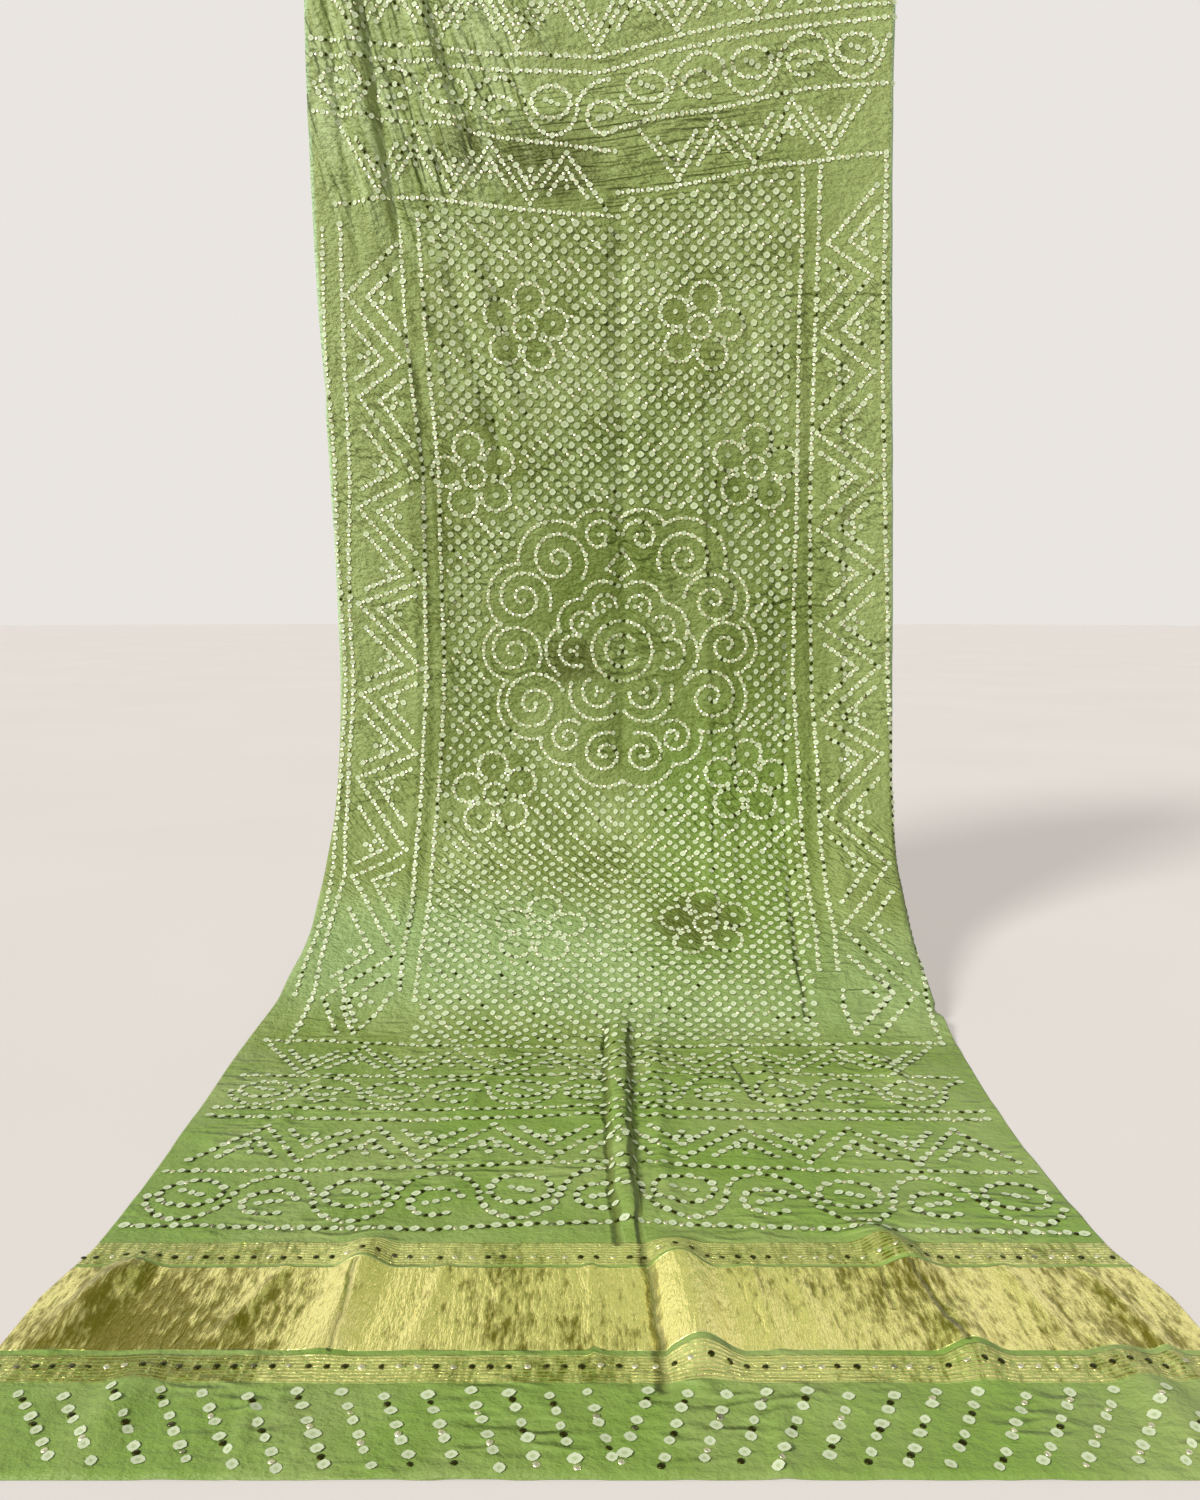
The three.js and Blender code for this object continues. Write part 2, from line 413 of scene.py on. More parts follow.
CREASES = (
    Crease((0.006, 1.700), (0.014, 2.196), 0.0065, 1.0),
    Crease((0.037, 1.700), (0.035, 2.215), 0.0055, 0.85),
    Crease((0.035, 2.215), (0.040, 2.385), 0.0070, 1.0),
    Crease((0.262, 1.430), (0.265, 1.690), 0.0055, 0.8),
    Crease((-0.206, 2.236), (-0.206, 2.342), 0.0040, 0.6),
    Crease((0.258, 2.236), (0.268, 2.342), 0.0045, 0.75),
    Crease((0.232, 2.236), (0.225, 2.290), 0.0040, 0.5),
    Crease((0.160, 1.790), (0.176, 1.900), 0.0045, 0.6),
)


# The pattern of tied dots and sequins


class Area(Enum):
    """Parts of the pattern, each made as one piece."""

    BORDERS = "side_borders"
    FIELD = "field"
    CROSS_BANDS = "cross_bands"
    END_STRIP = "end_strip"


@dataclass
class Pattern:
    """The places of all tied dots and sequins, as (across, along, size) in millimetres."""

    seed: int = 5
    dot_size: float = 7.2
    sequin_size: float = 5.6
    line_pitch: float = 14.6
    dots: dict[Area, list[Mark]] = field(default_factory=dict)
    sequins: list[Mark] = field(default_factory=list)

    def __post_init__(self) -> None:
        """Starts the seeded unevenness of a hand-tied pattern."""
        self.rng = np.random.default_rng(self.seed)
        self.dots = {area: [] for area in Area}

    def dot(self, area: Area, across: float, along: float, size: float = 0.0, wander: float = 0.5) -> None:
        """Ties one dot.

        Args:
            area: The part of the pattern it belongs to.
            across: Distance from the middle.
            along: Distance from the top edge.
            size: Its width, or 0 for the usual one.
            wander: How far it may stray from its place.
        """
        stray = self.rng.normal(0, wander, 2)
        width = (size or self.dot_size) * self.rng.uniform(0.88, 1.1)
        self.dots[area].append((across + stray[0], along + stray[1], width))

    def sequin(self, across: float, along: float, wander: float = 0.4) -> None:
        """Sews on one sequin near a place.

        Args:
            across: Distance from the middle.
            along: Distance from the top edge.
            wander: How far it may stray from its place.
        """
        stray = self.rng.normal(0, wander, 2)
        size = self.sequin_size * self.rng.uniform(0.9, 1.08)
        self.sequins.append((across + stray[0], along + stray[1], size))

    def path(
        self, area: Area, points: np.ndarray | list[Spot], pitch: float = 0.0, closed: bool = False
    ) -> None:
        """Ties dots along a path, with a sequin between each two.

        Args:
            area: The part of the pattern it belongs to.
            points: The path.
            pitch: Distance between dots, or 0 for the usual one.
            closed: Whether the path ends where it starts.
        """
        points = np.asarray(points, float)
        reach = np.concatenate([[0.0], np.cumsum(np.hypot(*np.diff(points, axis=0).T))])
        count = max(1, round(reach[-1] / (pitch or self.line_pitch)))
        places = np.linspace(0, reach[-1], 2 * count + 1)
        if closed:
            places = places[:-1]
        across = np.interp(places, reach, points[:, 0])
        along = np.interp(places, reach, points[:, 1])
        for number, (a, b) in enumerate(zip(across, along)):
            if number % 2:
                self.sequin(a, b)
            else:
                self.dot(area, a, b)

    def legs(self, area: Area, corners: list[Spot], pitch: float = 0.0) -> None:
        """Ties dots along straight legs, so that each corner has its own dot.

        Args:
            area: The part of the pattern they belong to.
            corners: Where the legs start, meet and end.
            pitch: Distance between dots, or 0 for the usual one.
        """
        for a, b in zip(corners, corners[1:]):
            count = max(1, round(math.dist(a, b) / (pitch or self.line_pitch)))
            for number in range(count):
                t = number / count
                self.dot(area, a[0] + (b[0] - a[0]) * t, a[1] + (b[1] - a[1]) * t)
                t = (number + 0.5) / count
                self.sequin(a[0] + (b[0] - a[0]) * t, a[1] + (b[1] - a[1]) * t)
        self.dot(area, *corners[-1])

    def cluster(
        self, area: Area, across: float, along: float, spread: float = 6.5, turn: float = 0.0
    ) -> None:
        """Ties three dots round a sequin.

        Args:
            area: The part of the pattern they belong to.
            across: Distance of the sequin from the middle.
            along: Its distance from the top edge.
            spread: Distance of the dots from the sequin.
            turn: Angle of the first dot, in radians.
        """
        for number in range(3):
            angle = turn + number * math.tau / 3
            self.dot(area, across + spread * math.cos(angle), along + spread * math.sin(angle))
        self.sequin(across, along)


def arc(centre: Spot, radius: float, start: float, end: float, squash: float = 1.0) -> np.ndarray:
    """Points on an arc.

    Args:
        centre: Its middle, (across, along).
        radius: Its radius across the cloth.
        start: Angle of its first point, in degrees from +across towards the top edge.
        end: Angle of its last point.
        squash: Its radius along the cloth, as a share of the one across.

    Returns:
        Points, one row each.
    """
    angles = np.radians(np.linspace(start, end, 60))
    x = centre[0] + radius * np.cos(angles)
    y = centre[1] - radius * squash * np.sin(angles)
    return np.stack([x, y], axis=1)


class Motif:
    """Something tied in dots on the cloth."""

    area = Area.FIELD

    def tie(self, pattern: Pattern) -> None:
        """Adds the motif's dots and sequins to a pattern."""
        raise NotImplementedError


@dataclass
class Line(Motif):
    """A single row of dots along a slightly uneven line."""

    points: tuple[Spot, ...]
    area: Area = Area.BORDERS
    pitch: float = 14.6

    def tie(self, pattern: Pattern) -> None:
        """Ties the line."""
        pattern.path(self.area, self.points, self.pitch)

    def at(self, across: float) -> float:
        """Distance along the cloth where a cross line passes a distance across."""
        return float(np.interp(across, [p[0] for p in self.points], [p[1] for p in self.points]))

    def across_at(self, along: float) -> float:
        """Distance across where a line down the cloth passes a distance along."""
        return float(np.interp(along, [p[1] for p in self.points], [p[0] for p in self.points]))


@dataclass
class Zigzag(Motif):
    """A zigzag with a smaller V and three dots inside each of its turns."""

    turns: tuple[Spot, ...]
    area: Area = Area.BORDERS
    inset: float = 33.0
    inner_share: float = 0.56
    inner_pitch: float = 13.5
    core: float = 25.0
    core_reach: float = 8.2

    def tie(self, pattern: Pattern) -> None:
        """Ties the zigzag and what it encloses.

        Args:
            pattern: The pattern to tie it in.
        """
        pattern.legs(self.area, list(self.turns))
        for before, turn, after in zip(self.turns, self.turns[1:], self.turns[2:]):
            vertex = Vector(turn)
            arms = [(Vector(end) - vertex) for end in (before, after)]
            inward = (arms[0].normalized() + arms[1].normalized()).normalized()
            point = vertex + inward * self.inset
            reach = [arm.length * self.inner_share for arm in arms]
            tips = [point + arm.normalized() * length for arm, length in zip(arms, reach)]
            pattern.legs(self.area, [tuple(tips[0]), tuple(point), tuple(tips[1])], self.inner_pitch)
            core = point + inward * self.core
            pattern.cluster(self.area, core.x, core.y, self.core_reach, math.atan2(inward.y, inward.x))


@dataclass
class Flower(Motif):
    """A flower of five ringed petals round a ringed dot."""

    across: float
    along: float
    turn: float = 90.0
    petal_radius: float = 22.5
    petal_reach: float = 43.5
    heart_radius: float = 17.0
    pitch: float = 13.0
    clear: float = 62.0
    area: Area = Area.FIELD

    def tie(self, pattern: Pattern) -> None:
        """Ties the petals, the ring in the middle and a dot in each.

        Args:
            pattern: The pattern to tie it in.
        """
        pattern.dot(self.area, self.across, self.along)
        centre = (self.across, self.along)
        pattern.path(self.area, arc(centre, self.heart_radius, 0, 360), self.pitch, closed=True)
        for number in range(5):
            angle = math.radians(self.turn + 72 * number)
            x = self.across + self.petal_reach * math.cos(angle)
            y = self.along - self.petal_reach * math.sin(angle)
            start = math.degrees(angle) - 142
            pattern.path(self.area, arc((x, y), self.petal_radius, start, start + 284), self.pitch)
            pattern.dot(self.area, x, y)

    def covers(self, across: float, along: float) -> bool:
        """Whether the flower leaves no room here for the field's rows."""
        return math.hypot(across - self.across, along - self.along) < self.clear


@dataclass
class Spiral(Motif):
    """A rolled tendril that ends in a wider tail, and the lobe of the outline round it."""

    across: float
    along: float
    radius: float
    turns: float
    tail: float
    clockwise: bool
    lobe: float
    heart: float = 4.0
    pitch: float = 11.8
    area: Area = Area.FIELD

    def tie(self, pattern: Pattern) -> None:
        """Ties the tendril from its heart to its tail.

        Args:
            pattern: The pattern to tie it in.
        """
        steps = np.linspace(0, 1, 160)
        way = 1 if self.clockwise else -1
        angles = math.radians(self.tail) + way * math.tau * self.turns * (1 - steps)
        radii = self.heart + (self.radius - self.heart) * steps**1.05
        x = self.across + radii * np.cos(angles)
        y = self.along - radii * np.sin(angles)
        pattern.path(self.area, np.stack([x, y], axis=1), self.pitch)

    def covers(self, across: float, along: float, beyond: float = 4.0) -> bool:
        """Whether a place lies inside the lobe round the tendril."""
        return math.hypot(across - self.across, along - self.along) < self.lobe + beyond


@dataclass
class Medallion(Motif):
    """The large round motif: a ringed heart, eight petals, a scalloped ring and rolled tendrils."""

    across: float = 9.0
    along: float = 1038.0
    heart_radius: float = 47.0
    dot_size: float = 6.4
    pitch: float = 11.8
    clear: float = 150.0
    petal_angles: tuple[int, ...] = (180, 145, 110, 68, 29, -3, -62, -121)
    area: Area = Area.FIELD
    tendrils: tuple[Spiral, ...] = (
        Spiral(-89, 897, 48, 1.8, -35, True, 60),
        Spiral(-22, 862, 29, 1.25, 10, True, 42),
        Spiral(43, 862, 29, 1.25, 170, False, 42),
        Spiral(112, 894, 45, 1.85, 207, False, 61),
        Spiral(153, 960, 46, 1.85, 172, False, 54),
        Spiral(174, 1030, 42, 1.7, 185, False, 46),
        Spiral(148, 1111, 45, 1.8, 150, False, 55),
        Spiral(91, 1174, 29, 1.5, 130, False, 43),
        Spiral(41, 1200, 35, 1.6, 110, False, 52),
        Spiral(-17, 1200, 35, 1.6, 70, True, 52),
        Spiral(-76, 1174, 29, 1.5, 50, True, 43),
        Spiral(-131, 1122, 52, 1.95, 27, True, 55),
        Spiral(-161, 1039, 45, 1.8, -30, True, 47),
        Spiral(-145, 956, 46, 1.9, -22, True, 54),
    )

    def spot(self, angle: float, reach: float) -> Spot:
        """The place at an angle, in degrees, and a reach from the medallion's middle."""
        turn = math.radians(angle)
        return (self.across + reach * math.cos(turn), self.along - reach * math.sin(turn))

    def tie(self, pattern: Pattern) -> None:
        """Ties the medallion from its heart outwards.

        Args:
            pattern: The pattern to tie it in.
        """
        usual = pattern.dot_size
        pattern.dot_size = self.dot_size
        centre = (self.across, self.along)
        pattern.cluster(self.area, *centre, 7, 0.4)
        pattern.path(self.area, arc(centre, 25, 40, 335), 12)
        pattern.path(self.area, arc(centre, self.heart_radius, 0, 360), 13, closed=True)
        angles = sorted(self.petal_angles)
        for number, angle in enumerate(angles):
            room = (angles[(number + 1) % len(angles)] - angles[number - 1]) % 360
            radius = 18 if room < 90 else 24
            middle = self.spot(angle, 74)
            pattern.path(self.area, arc(middle, radius, angle - 112, angle + 112), self.pitch)
            pattern.cluster(self.area, *middle, 6.5, math.radians(angle))
            outer = self.spot(angle, 76)
            half = 56 if angle > -30 else 78
            pattern.path(self.area, arc(outer, radius + 19, angle - half, angle + half), self.pitch)
        for tendril in self.tendrils:
            tendril.tie(pattern)
            self.outline(pattern, tendril)
        pattern.legs(self.area, [(13, 881), (-12, 911), (11, 926), (32, 911), (13, 881)], 13)
        pattern.dot_size = usual

    def outline(self, pattern: Pattern, tendril: Spiral) -> None:
        """Ties the part of a tendril's lobe that shows outside all other lobes.

        Args:
            pattern: The pattern to tie it in.
            tendril: The tendril inside the lobe.
        """
        away = math.degrees(math.atan2(self.along - tendril.along, tendril.across - self.across))
        lobe = arc((tendril.across, tendril.along), tendril.lobe, away - 110, away + 110)
        others = [other for other in self.tendrils if other is not tendril]
        free = [point for point in lobe if not any(other.covers(*point, -2.0) for other in others)]
        if len(free) > 3:
            pattern.path(self.area, np.array(free), self.pitch)

    def covers(self, across: float, along: float) -> bool:
        """Whether the medallion leaves no room here for the field's rows.

        Args:
            across: Distance from the middle.
            along: Distance from the top edge.

        Returns:
            True where there is no room.
        """
        if math.hypot(across - self.across, along - self.along) < self.clear:
            return True
        return any(tendril.covers(across, along) for tendril in self.tendrils)


@dataclass
class Wave(Motif):
    """A wave of dots between two cross lines, with a ringed oval in each of its bays."""

    above: Line
    below: Line
    start: float
    end: float
    period: float
    area: Area = Area.CROSS_BANDS
    oval: float = 0.19

    def height(self, across: float) -> tuple[float, float]:
        """The middle of the row and half its height at a distance across.

        Args:
            across: Distance from the middle.

        Returns:
            Both, in millimetres.
        """
        top = self.above.at(across)
        bottom = self.below.at(across)
        return (top + bottom) / 2, (bottom - top) / 2

    def tie(self, pattern: Pattern) -> None:
        """Ties the wave and the ovals in its bays.

        Args:
            pattern: The pattern to tie it in.
        """
        across = np.arange(self.start, self.end, 2.0)
        swing = np.sin(math.tau * (across - self.start) / self.period)
        swing = np.sign(swing) * np.abs(swing) ** 0.55
        points = []
        for x, share in zip(across, swing):
            middle, half = self.height(x)
            points.append((x, middle + 0.78 * half * share))
        pattern.path(self.area, points, 14)
        bays = np.arange(self.start + self.period / 4, self.end, self.period / 2)
        for number, x in enumerate(bays):
            middle, half = self.height(x)
            large = number % 2 == 0
            y = middle + (-0.14 if large else 0.17) * half
            radius = self.period * (self.oval if large else self.oval * 0.84)
            squash = (0.46 if large else 0.4) * half / radius
            ring = arc((x, y), radius, 20, 380 if large else 300, squash)
            pattern.path(self.area, ring, 13, closed=large)
            for step in (-1, 0, 1):
                pattern.dot(self.area, x + step * 9, y + step * (3.5 if large else -2.5))


@dataclass
class FieldRows(Motif):
    """The field: slanting rows of dots that meet in a V at the middle crease."""

    left: Line
    right: Line
    top_left: Line
    top_right: Line
    bottom: Line
    motifs: tuple[Motif, ...]
    crease: Line
    step: float = 10.3
    row_gap: float = 19.9
    reach: float = 300.0
    stray: float = 4.0
    clear: float = 10.5
    area: Area = Area.FIELD

    def tie(self, pattern: Pattern) -> None:
        """Ties the rows wherever no motif has been tied already.

        Args:
            pattern: The pattern to tie it in.
        """
        taken = pattern.dots[Area.FIELD] + pattern.dots[Area.BORDERS]
        tree = KDTree(len(taken))
        for number, (x, y, _) in enumerate(taken):
            tree.insert((x, y, 0), number)
        tree.balance()
        drift = Unevenness(21, 90, 80)
        rng = pattern.rng
        for side in (-1, 1):
            for column in range(int(self.reach / self.step) + 1):
                since_sequin = int(rng.integers(0, 4))
                for row in range(-18, 110):
                    along = 360 + row * self.row_gap - column * self.step
                    across = self.crease.points[0][0] + side * (column + 0.5) * self.step
                    across += self.stray * float(drift.at(across, along))
                    along += self.stray * float(drift.at(along - 900, across + 700))
                    across += self.crease_shift(along)
                    if not self.open(across, along, side, tree):
                        continue
                    width = float(np.interp(along, (900, 1250), (8.6, 7.5)))
                    pattern.dot(self.area, across, along, width, 0.7)
                    since_sequin += 1
                    if since_sequin > rng.integers(2, 5):
                        since_sequin = 0
                        half = self.step / 2
                        pattern.sequin(across + side * half, along - half, 0.5)

    def crease_shift(self, along: float) -> float:
        """How far the middle crease has moved across since its top."""
        return self.crease.across_at(along) - self.crease.points[0][0]

    def open(self, across: float, along: float, side: int, tree: KDTree) -> bool:
        """Whether a dot of the field fits here.

        Args:
            across: Distance from the middle.
            along: Distance from the top edge.
            side: -1 left of the crease, 1 right of it.
            tree: The dots that are tied already.

        Returns:
            True where it lies inside the borders and clear of every motif.
        """
        limit = (self.left if side < 0 else self.right).across_at(along)
        top = (self.top_left if side < 0 else self.top_right).at(across)
        inside = side * across < side * limit - 9 and top + 11 < along < self.bottom.at(across) - 11
        if not inside or any(motif.covers(across, along) for motif in self.motifs):
            return False
        _, _, distance = tree.find((across, along, 0))
        return distance > self.clear


@dataclass
class EndStrip(Motif):
    """The plain end: slanting columns of large dots that lean towards the middle."""

    tops: tuple[int, ...] = (
        -413, -381, -349, -316, -283, -251, -219, -187, -156, -126, -97, -69, -41, -14,
        29, 56, 84, 112, 141, 170, 200, 231, 262, 293, 326, 358, 391, 424,
    )
    first: float = 2391.0
    last: float = 2462.0
    pitch: float = 15.7
    dot_size: float = 7.7
    area: Area = Area.END_STRIP

    def tie(self, pattern: Pattern) -> None:
        """Ties the columns, with a sequin in every other gap.

        Args:
            pattern: The pattern to tie it in.
        """
        for number, top in enumerate(self.tops):
            lean = math.radians(15 + 24 * min(abs(top) / 420, 1))
            side = -math.copysign(math.sin(lean), top - 7)
            reach = 0.0
            sewn = number % 3 != 1
            while True:
                across = top + side * reach
                along = self.first + math.cos(lean) * reach + 3 * math.sin(number * 1.7)
                if along > self.last:
                    break
                pattern.dot(self.area, across, along, self.dot_size, 0.6)
                if sewn and along + 6 < self.last:
                    half = self.pitch / 2
                    pattern.sequin(across + side * half, along + math.cos(lean) * half)
                sewn = not sewn
                reach += self.pitch


LEFT_OUTER = Line((
    (-394, 400), (-399, 573), (-403, 760), (-412, 882), (-416, 985), (-413, 1084),
    (-418, 1210), (-415, 1316), (-402, 1400), (-403, 1486), (-399, 1575), (-393, 1632), (-395, 1740),
))
LEFT_FIRST = Line((
    (-306, 395), (-303, 573), (-290, 760), (-294, 882), (-297, 985), (-298, 1084),
    (-302, 1210), (-301, 1316), (-297, 1400), (-291, 1486), (-286, 1575), (-279, 1632),
))
LEFT_SECOND = Line((
    (-278, 386), (-273, 573), (-266, 760), (-270, 882), (-270, 985), (-270, 1084),
    (-274, 1210), (-275, 1316), (-271, 1400), (-265, 1486), (-262, 1575), (-256, 1650),
))
LEFT_SELVEDGE = Line((
    (-421, 408), (-427, 573), (-426, 760), (-430, 882), (-428, 985), (-425, 1084),
    (-430, 1210), (-429, 1316), (-421, 1400), (-416, 1486), (-419, 1575), (-417, 1640),
), pitch=17.0)
RIGHT_SECOND = Line((
    (300, 322), (298, 408), (291, 573), (284, 821), (279, 945), (277, 1084),
    (286, 1210), (290, 1316), (293, 1371), (292, 1443), (295, 1517), (290, 1592),
))
RIGHT_FIRST = Line((
    (326, 318), (323, 408), (316, 573), (305, 821), (304, 945), (306, 1084),
    (315, 1210), (319, 1316), (320, 1371), (318, 1443), (321, 1517), (316, 1592),
))
RIGHT_OUTER = Line((
    (424, 302), (422, 408), (418, 573), (421, 821), (424, 945), (426, 1084),
    (431, 1210), (434, 1316), (436, 1400), (437, 1500), (432, 1600), (426, 1640), (431, 1740),
))
BORDER_LINES = (
    LEFT_SELVEDGE, LEFT_OUTER, LEFT_FIRST, LEFT_SECOND, RIGHT_SECOND, RIGHT_FIRST, RIGHT_OUTER,
    Line(((-363, 1610), (-352, 1640), (-345, 1668), (-330, 1695), (-318, 1716))),
    Line(((-290, 1640), (-298, 1668), (-307, 1694), (-318, 1716))),
    Line(((317, 1633), (314, 1663), (321, 1690), (326, 1718))),
    Line(((372, 1607), (383, 1636), (364, 1665), (338, 1696), (326, 1718))),
)
BORDER_ZIGZAGS = (
    Zigzag((
        (-312, 428), (-391, 503), (-310, 600), (-381, 651), (-300, 770), (-394, 817), (-298, 929),
        (-401, 965), (-305, 1066), (-400, 1106), (-312, 1200), (-403, 1238), (-314, 1360),
        (-389, 1405), (-298, 1561), (-378, 1647), (-340, 1715),
    )),
    Zigzag((
        (410, 345), (337, 428), (403, 474), (327, 555), (405, 614), (316, 705), (408, 769),
        (317, 851), (409, 914), (320, 998), (411, 1063), (323, 1145), (417, 1200), (328, 1295),
        (420, 1380), (333, 1511), (414, 1638), (352, 1722),
    )),
)
CREASE = Line(((27, 340), (22, 600), (12, 900), (8, 1100), (8, 1400), (12, 1740)))


def cross_line(*points: Spot) -> Line:
    """A line of dots across the cloth, from one side to the other."""
    return Line(tuple(points), Area.CROSS_BANDS, 14.4)


UPPER_LEFT_LINE = cross_line(
    (-400, 372), (-310, 362), (-246, 364), (-190, 372), (-133, 378), (-52, 385), (22, 388),
)
UPPER_RIGHT_LINE = cross_line(
    (24, 354), (86, 349), (143, 340), (194, 328), (257, 315), (303, 312), (389, 301), (424, 298),
)
SECOND_LEFT_LINE = cross_line(
    (-426, 240), (-310, 252), (-242, 257), (-180, 271), (-136, 280), (-84, 284), (20, 296),
)
SECOND_RIGHT_LINE = cross_line(
    (22, 265), (82, 250), (138, 242), (190, 233), (252, 218), (308, 208), (376, 203), (432, 199),
)
THIRD_LINE = cross_line(
    (-426, 160), (-300, 168), (-150, 182), (0, 186), (107, 156), (200, 136), (309, 119), (432, 108),
)
FOURTH_LINE = cross_line(
    (-426, 138), (-300, 146), (-150, 160), (0, 164), (107, 136), (200, 116), (309, 99), (432, 88),
)
TOP_LINE = cross_line((-426, 34), (-200, 38), (0, 40), (200, 30), (432, 22))

FOOT_LINE = cross_line(
    (-425, 1732), (-240, 1744), (-100, 1750), (0, 1752), (120, 1748), (280, 1742), (430, 1738),
)
LOWER_SECOND = cross_line((-420, 1834), (-200, 1838), (0, 1832), (150, 1826), (300, 1836), (420, 1842))
LOWER_THIRD = cross_line(
    (-422, 1922), (-200, 1930), (-90, 1924), (0, 1917), (60, 1926), (200, 1932), (420, 1934),
)
LOWER_FOURTH = cross_line(
    (-422, 1944), (-200, 1956), (-90, 1948), (0, 1936), (60, 1946), (200, 1952), (420, 1953),
)
LOWER_FIFTH = cross_line(
    (-424, 2068), (-250, 2066), (-150, 2058), (0, 2048), (60, 2052), (150, 2064), (260, 2068), (424, 2072),
)
LAST_LINE = cross_line(
    (-426, 2168), (-300, 2172), (-150, 2176), (-60, 2168), (20, 2162), (120, 2170), (230, 2176), (426, 2182),
)


def cross_zigzag(above: Line, below: Line, starts: float, ends: float, period: float) -> Zigzag:
    """A zigzag row between two cross lines.

    Args:
        above: The line at its upper side.
        below: The line at its lower side.
        starts: Distance across of its first turn.
        ends: Distance across where it stops.
        period: Distance between two upper turns.

    Returns:
        The zigzag, with its turns just inside the two lines.
    """
    turns = []
    across = starts
    up = True
    while across < ends:
        along = above.at(across) + 11 if up else below.at(across) - 9
        turns.append((across, along))
        across += period / 2
        up = not up
    return Zigzag(tuple(turns), Area.CROSS_BANDS, inset=23, inner_share=0.5, core=17)


CROSS_BANDS: tuple[Motif, ...] = (
    UPPER_LEFT_LINE, UPPER_RIGHT_LINE, SECOND_LEFT_LINE, SECOND_RIGHT_LINE, THIRD_LINE, FOURTH_LINE, TOP_LINE,
    FOOT_LINE, LOWER_SECOND, LOWER_THIRD, LOWER_FOURTH, LOWER_FIFTH, LAST_LINE,
    cross_zigzag(SECOND_LEFT_LINE, UPPER_LEFT_LINE, -391, 10, 113),
    cross_zigzag(SECOND_RIGHT_LINE, UPPER_RIGHT_LINE, 57, 430, 113),
    Wave(THIRD_LINE, SECOND_LEFT_LINE, -422, 14, 155),
    Wave(THIRD_LINE, SECOND_RIGHT_LINE, 30, 428, 155),
    cross_zigzag(TOP_LINE, FOURTH_LINE, -418, 428, 118),
    cross_zigzag(FOOT_LINE, LOWER_SECOND, -414, 424, 118),
    Wave(LOWER_SECOND, LOWER_THIRD, -420, 422, 148),
    Zigzag((
        (-410, 2046), (-351, 1970), (-301, 2048), (-232, 1974), (-180, 2048), (-111, 1968), (-49, 2040),
        (22, 1960), (86, 2040), (153, 1972), (210, 2050), (264, 1976), (318, 2054), (375, 1978), (418, 2052),
    ), Area.CROSS_BANDS, inset=30, inner_share=0.5, core=20),
    Wave(LOWER_FIFTH, LAST_LINE, -424, 426, 155),
)
FLOWERS = (
    Flower(-123, 550, 80), Flower(142, 548, 78), Flower(-211, 769, 100), Flower(221, 757, 84),
    Flower(-187, 1263, 96), Flower(204, 1244, 88), Flower(-101, 1511, 84), Flower(138, 1499, 94),
)


def tie_pattern() -> Pattern:
    """Ties the whole cloth, from its borders and motifs to the rows that fill the field.

    Returns:
        The pattern.
    """
    pattern = Pattern()
    medallion = Medallion()
    rows = FieldRows(
        LEFT_SECOND, RIGHT_SECOND, UPPER_LEFT_LINE, UPPER_RIGHT_LINE, FOOT_LINE, (*FLOWERS, medallion), CREASE
    )
    for motif in (*BORDER_LINES, *BORDER_ZIGZAGS, *CROSS_BANDS, *FLOWERS, medallion, rows, EndStrip()):
        motif.tie(pattern)
    for along in (2219.0, 2361.5):
        for across in np.arange(-444, 446, 13.3):
            pattern.sequin(float(across), along, 0.5)
    return pattern


# Finishes


class Wire:
    """A value in a shader; arithmetic on it adds math nodes."""

    def __init__(self, writer: "NodeWriter", socket: bpy.types.NodeSocket) -> None:
        """Holds the output of a node and the writer of its tree."""
        self.writer = writer
        self.socket = socket

    def __add__(self, other: object) -> "Wire":
        """Adds a value."""
        return self.writer.math("ADD", self, other)

    def __sub__(self, other: object) -> "Wire":
        """Takes a value away."""
        return self.writer.math("SUBTRACT", self, other)

    def __rsub__(self, other: object) -> "Wire":
        """Takes this away from a number."""
        return self.writer.math("SUBTRACT", other, self)

    def __mul__(self, other: object) -> "Wire":
        """Multiplies by a value."""
        return self.writer.math("MULTIPLY", self, other)


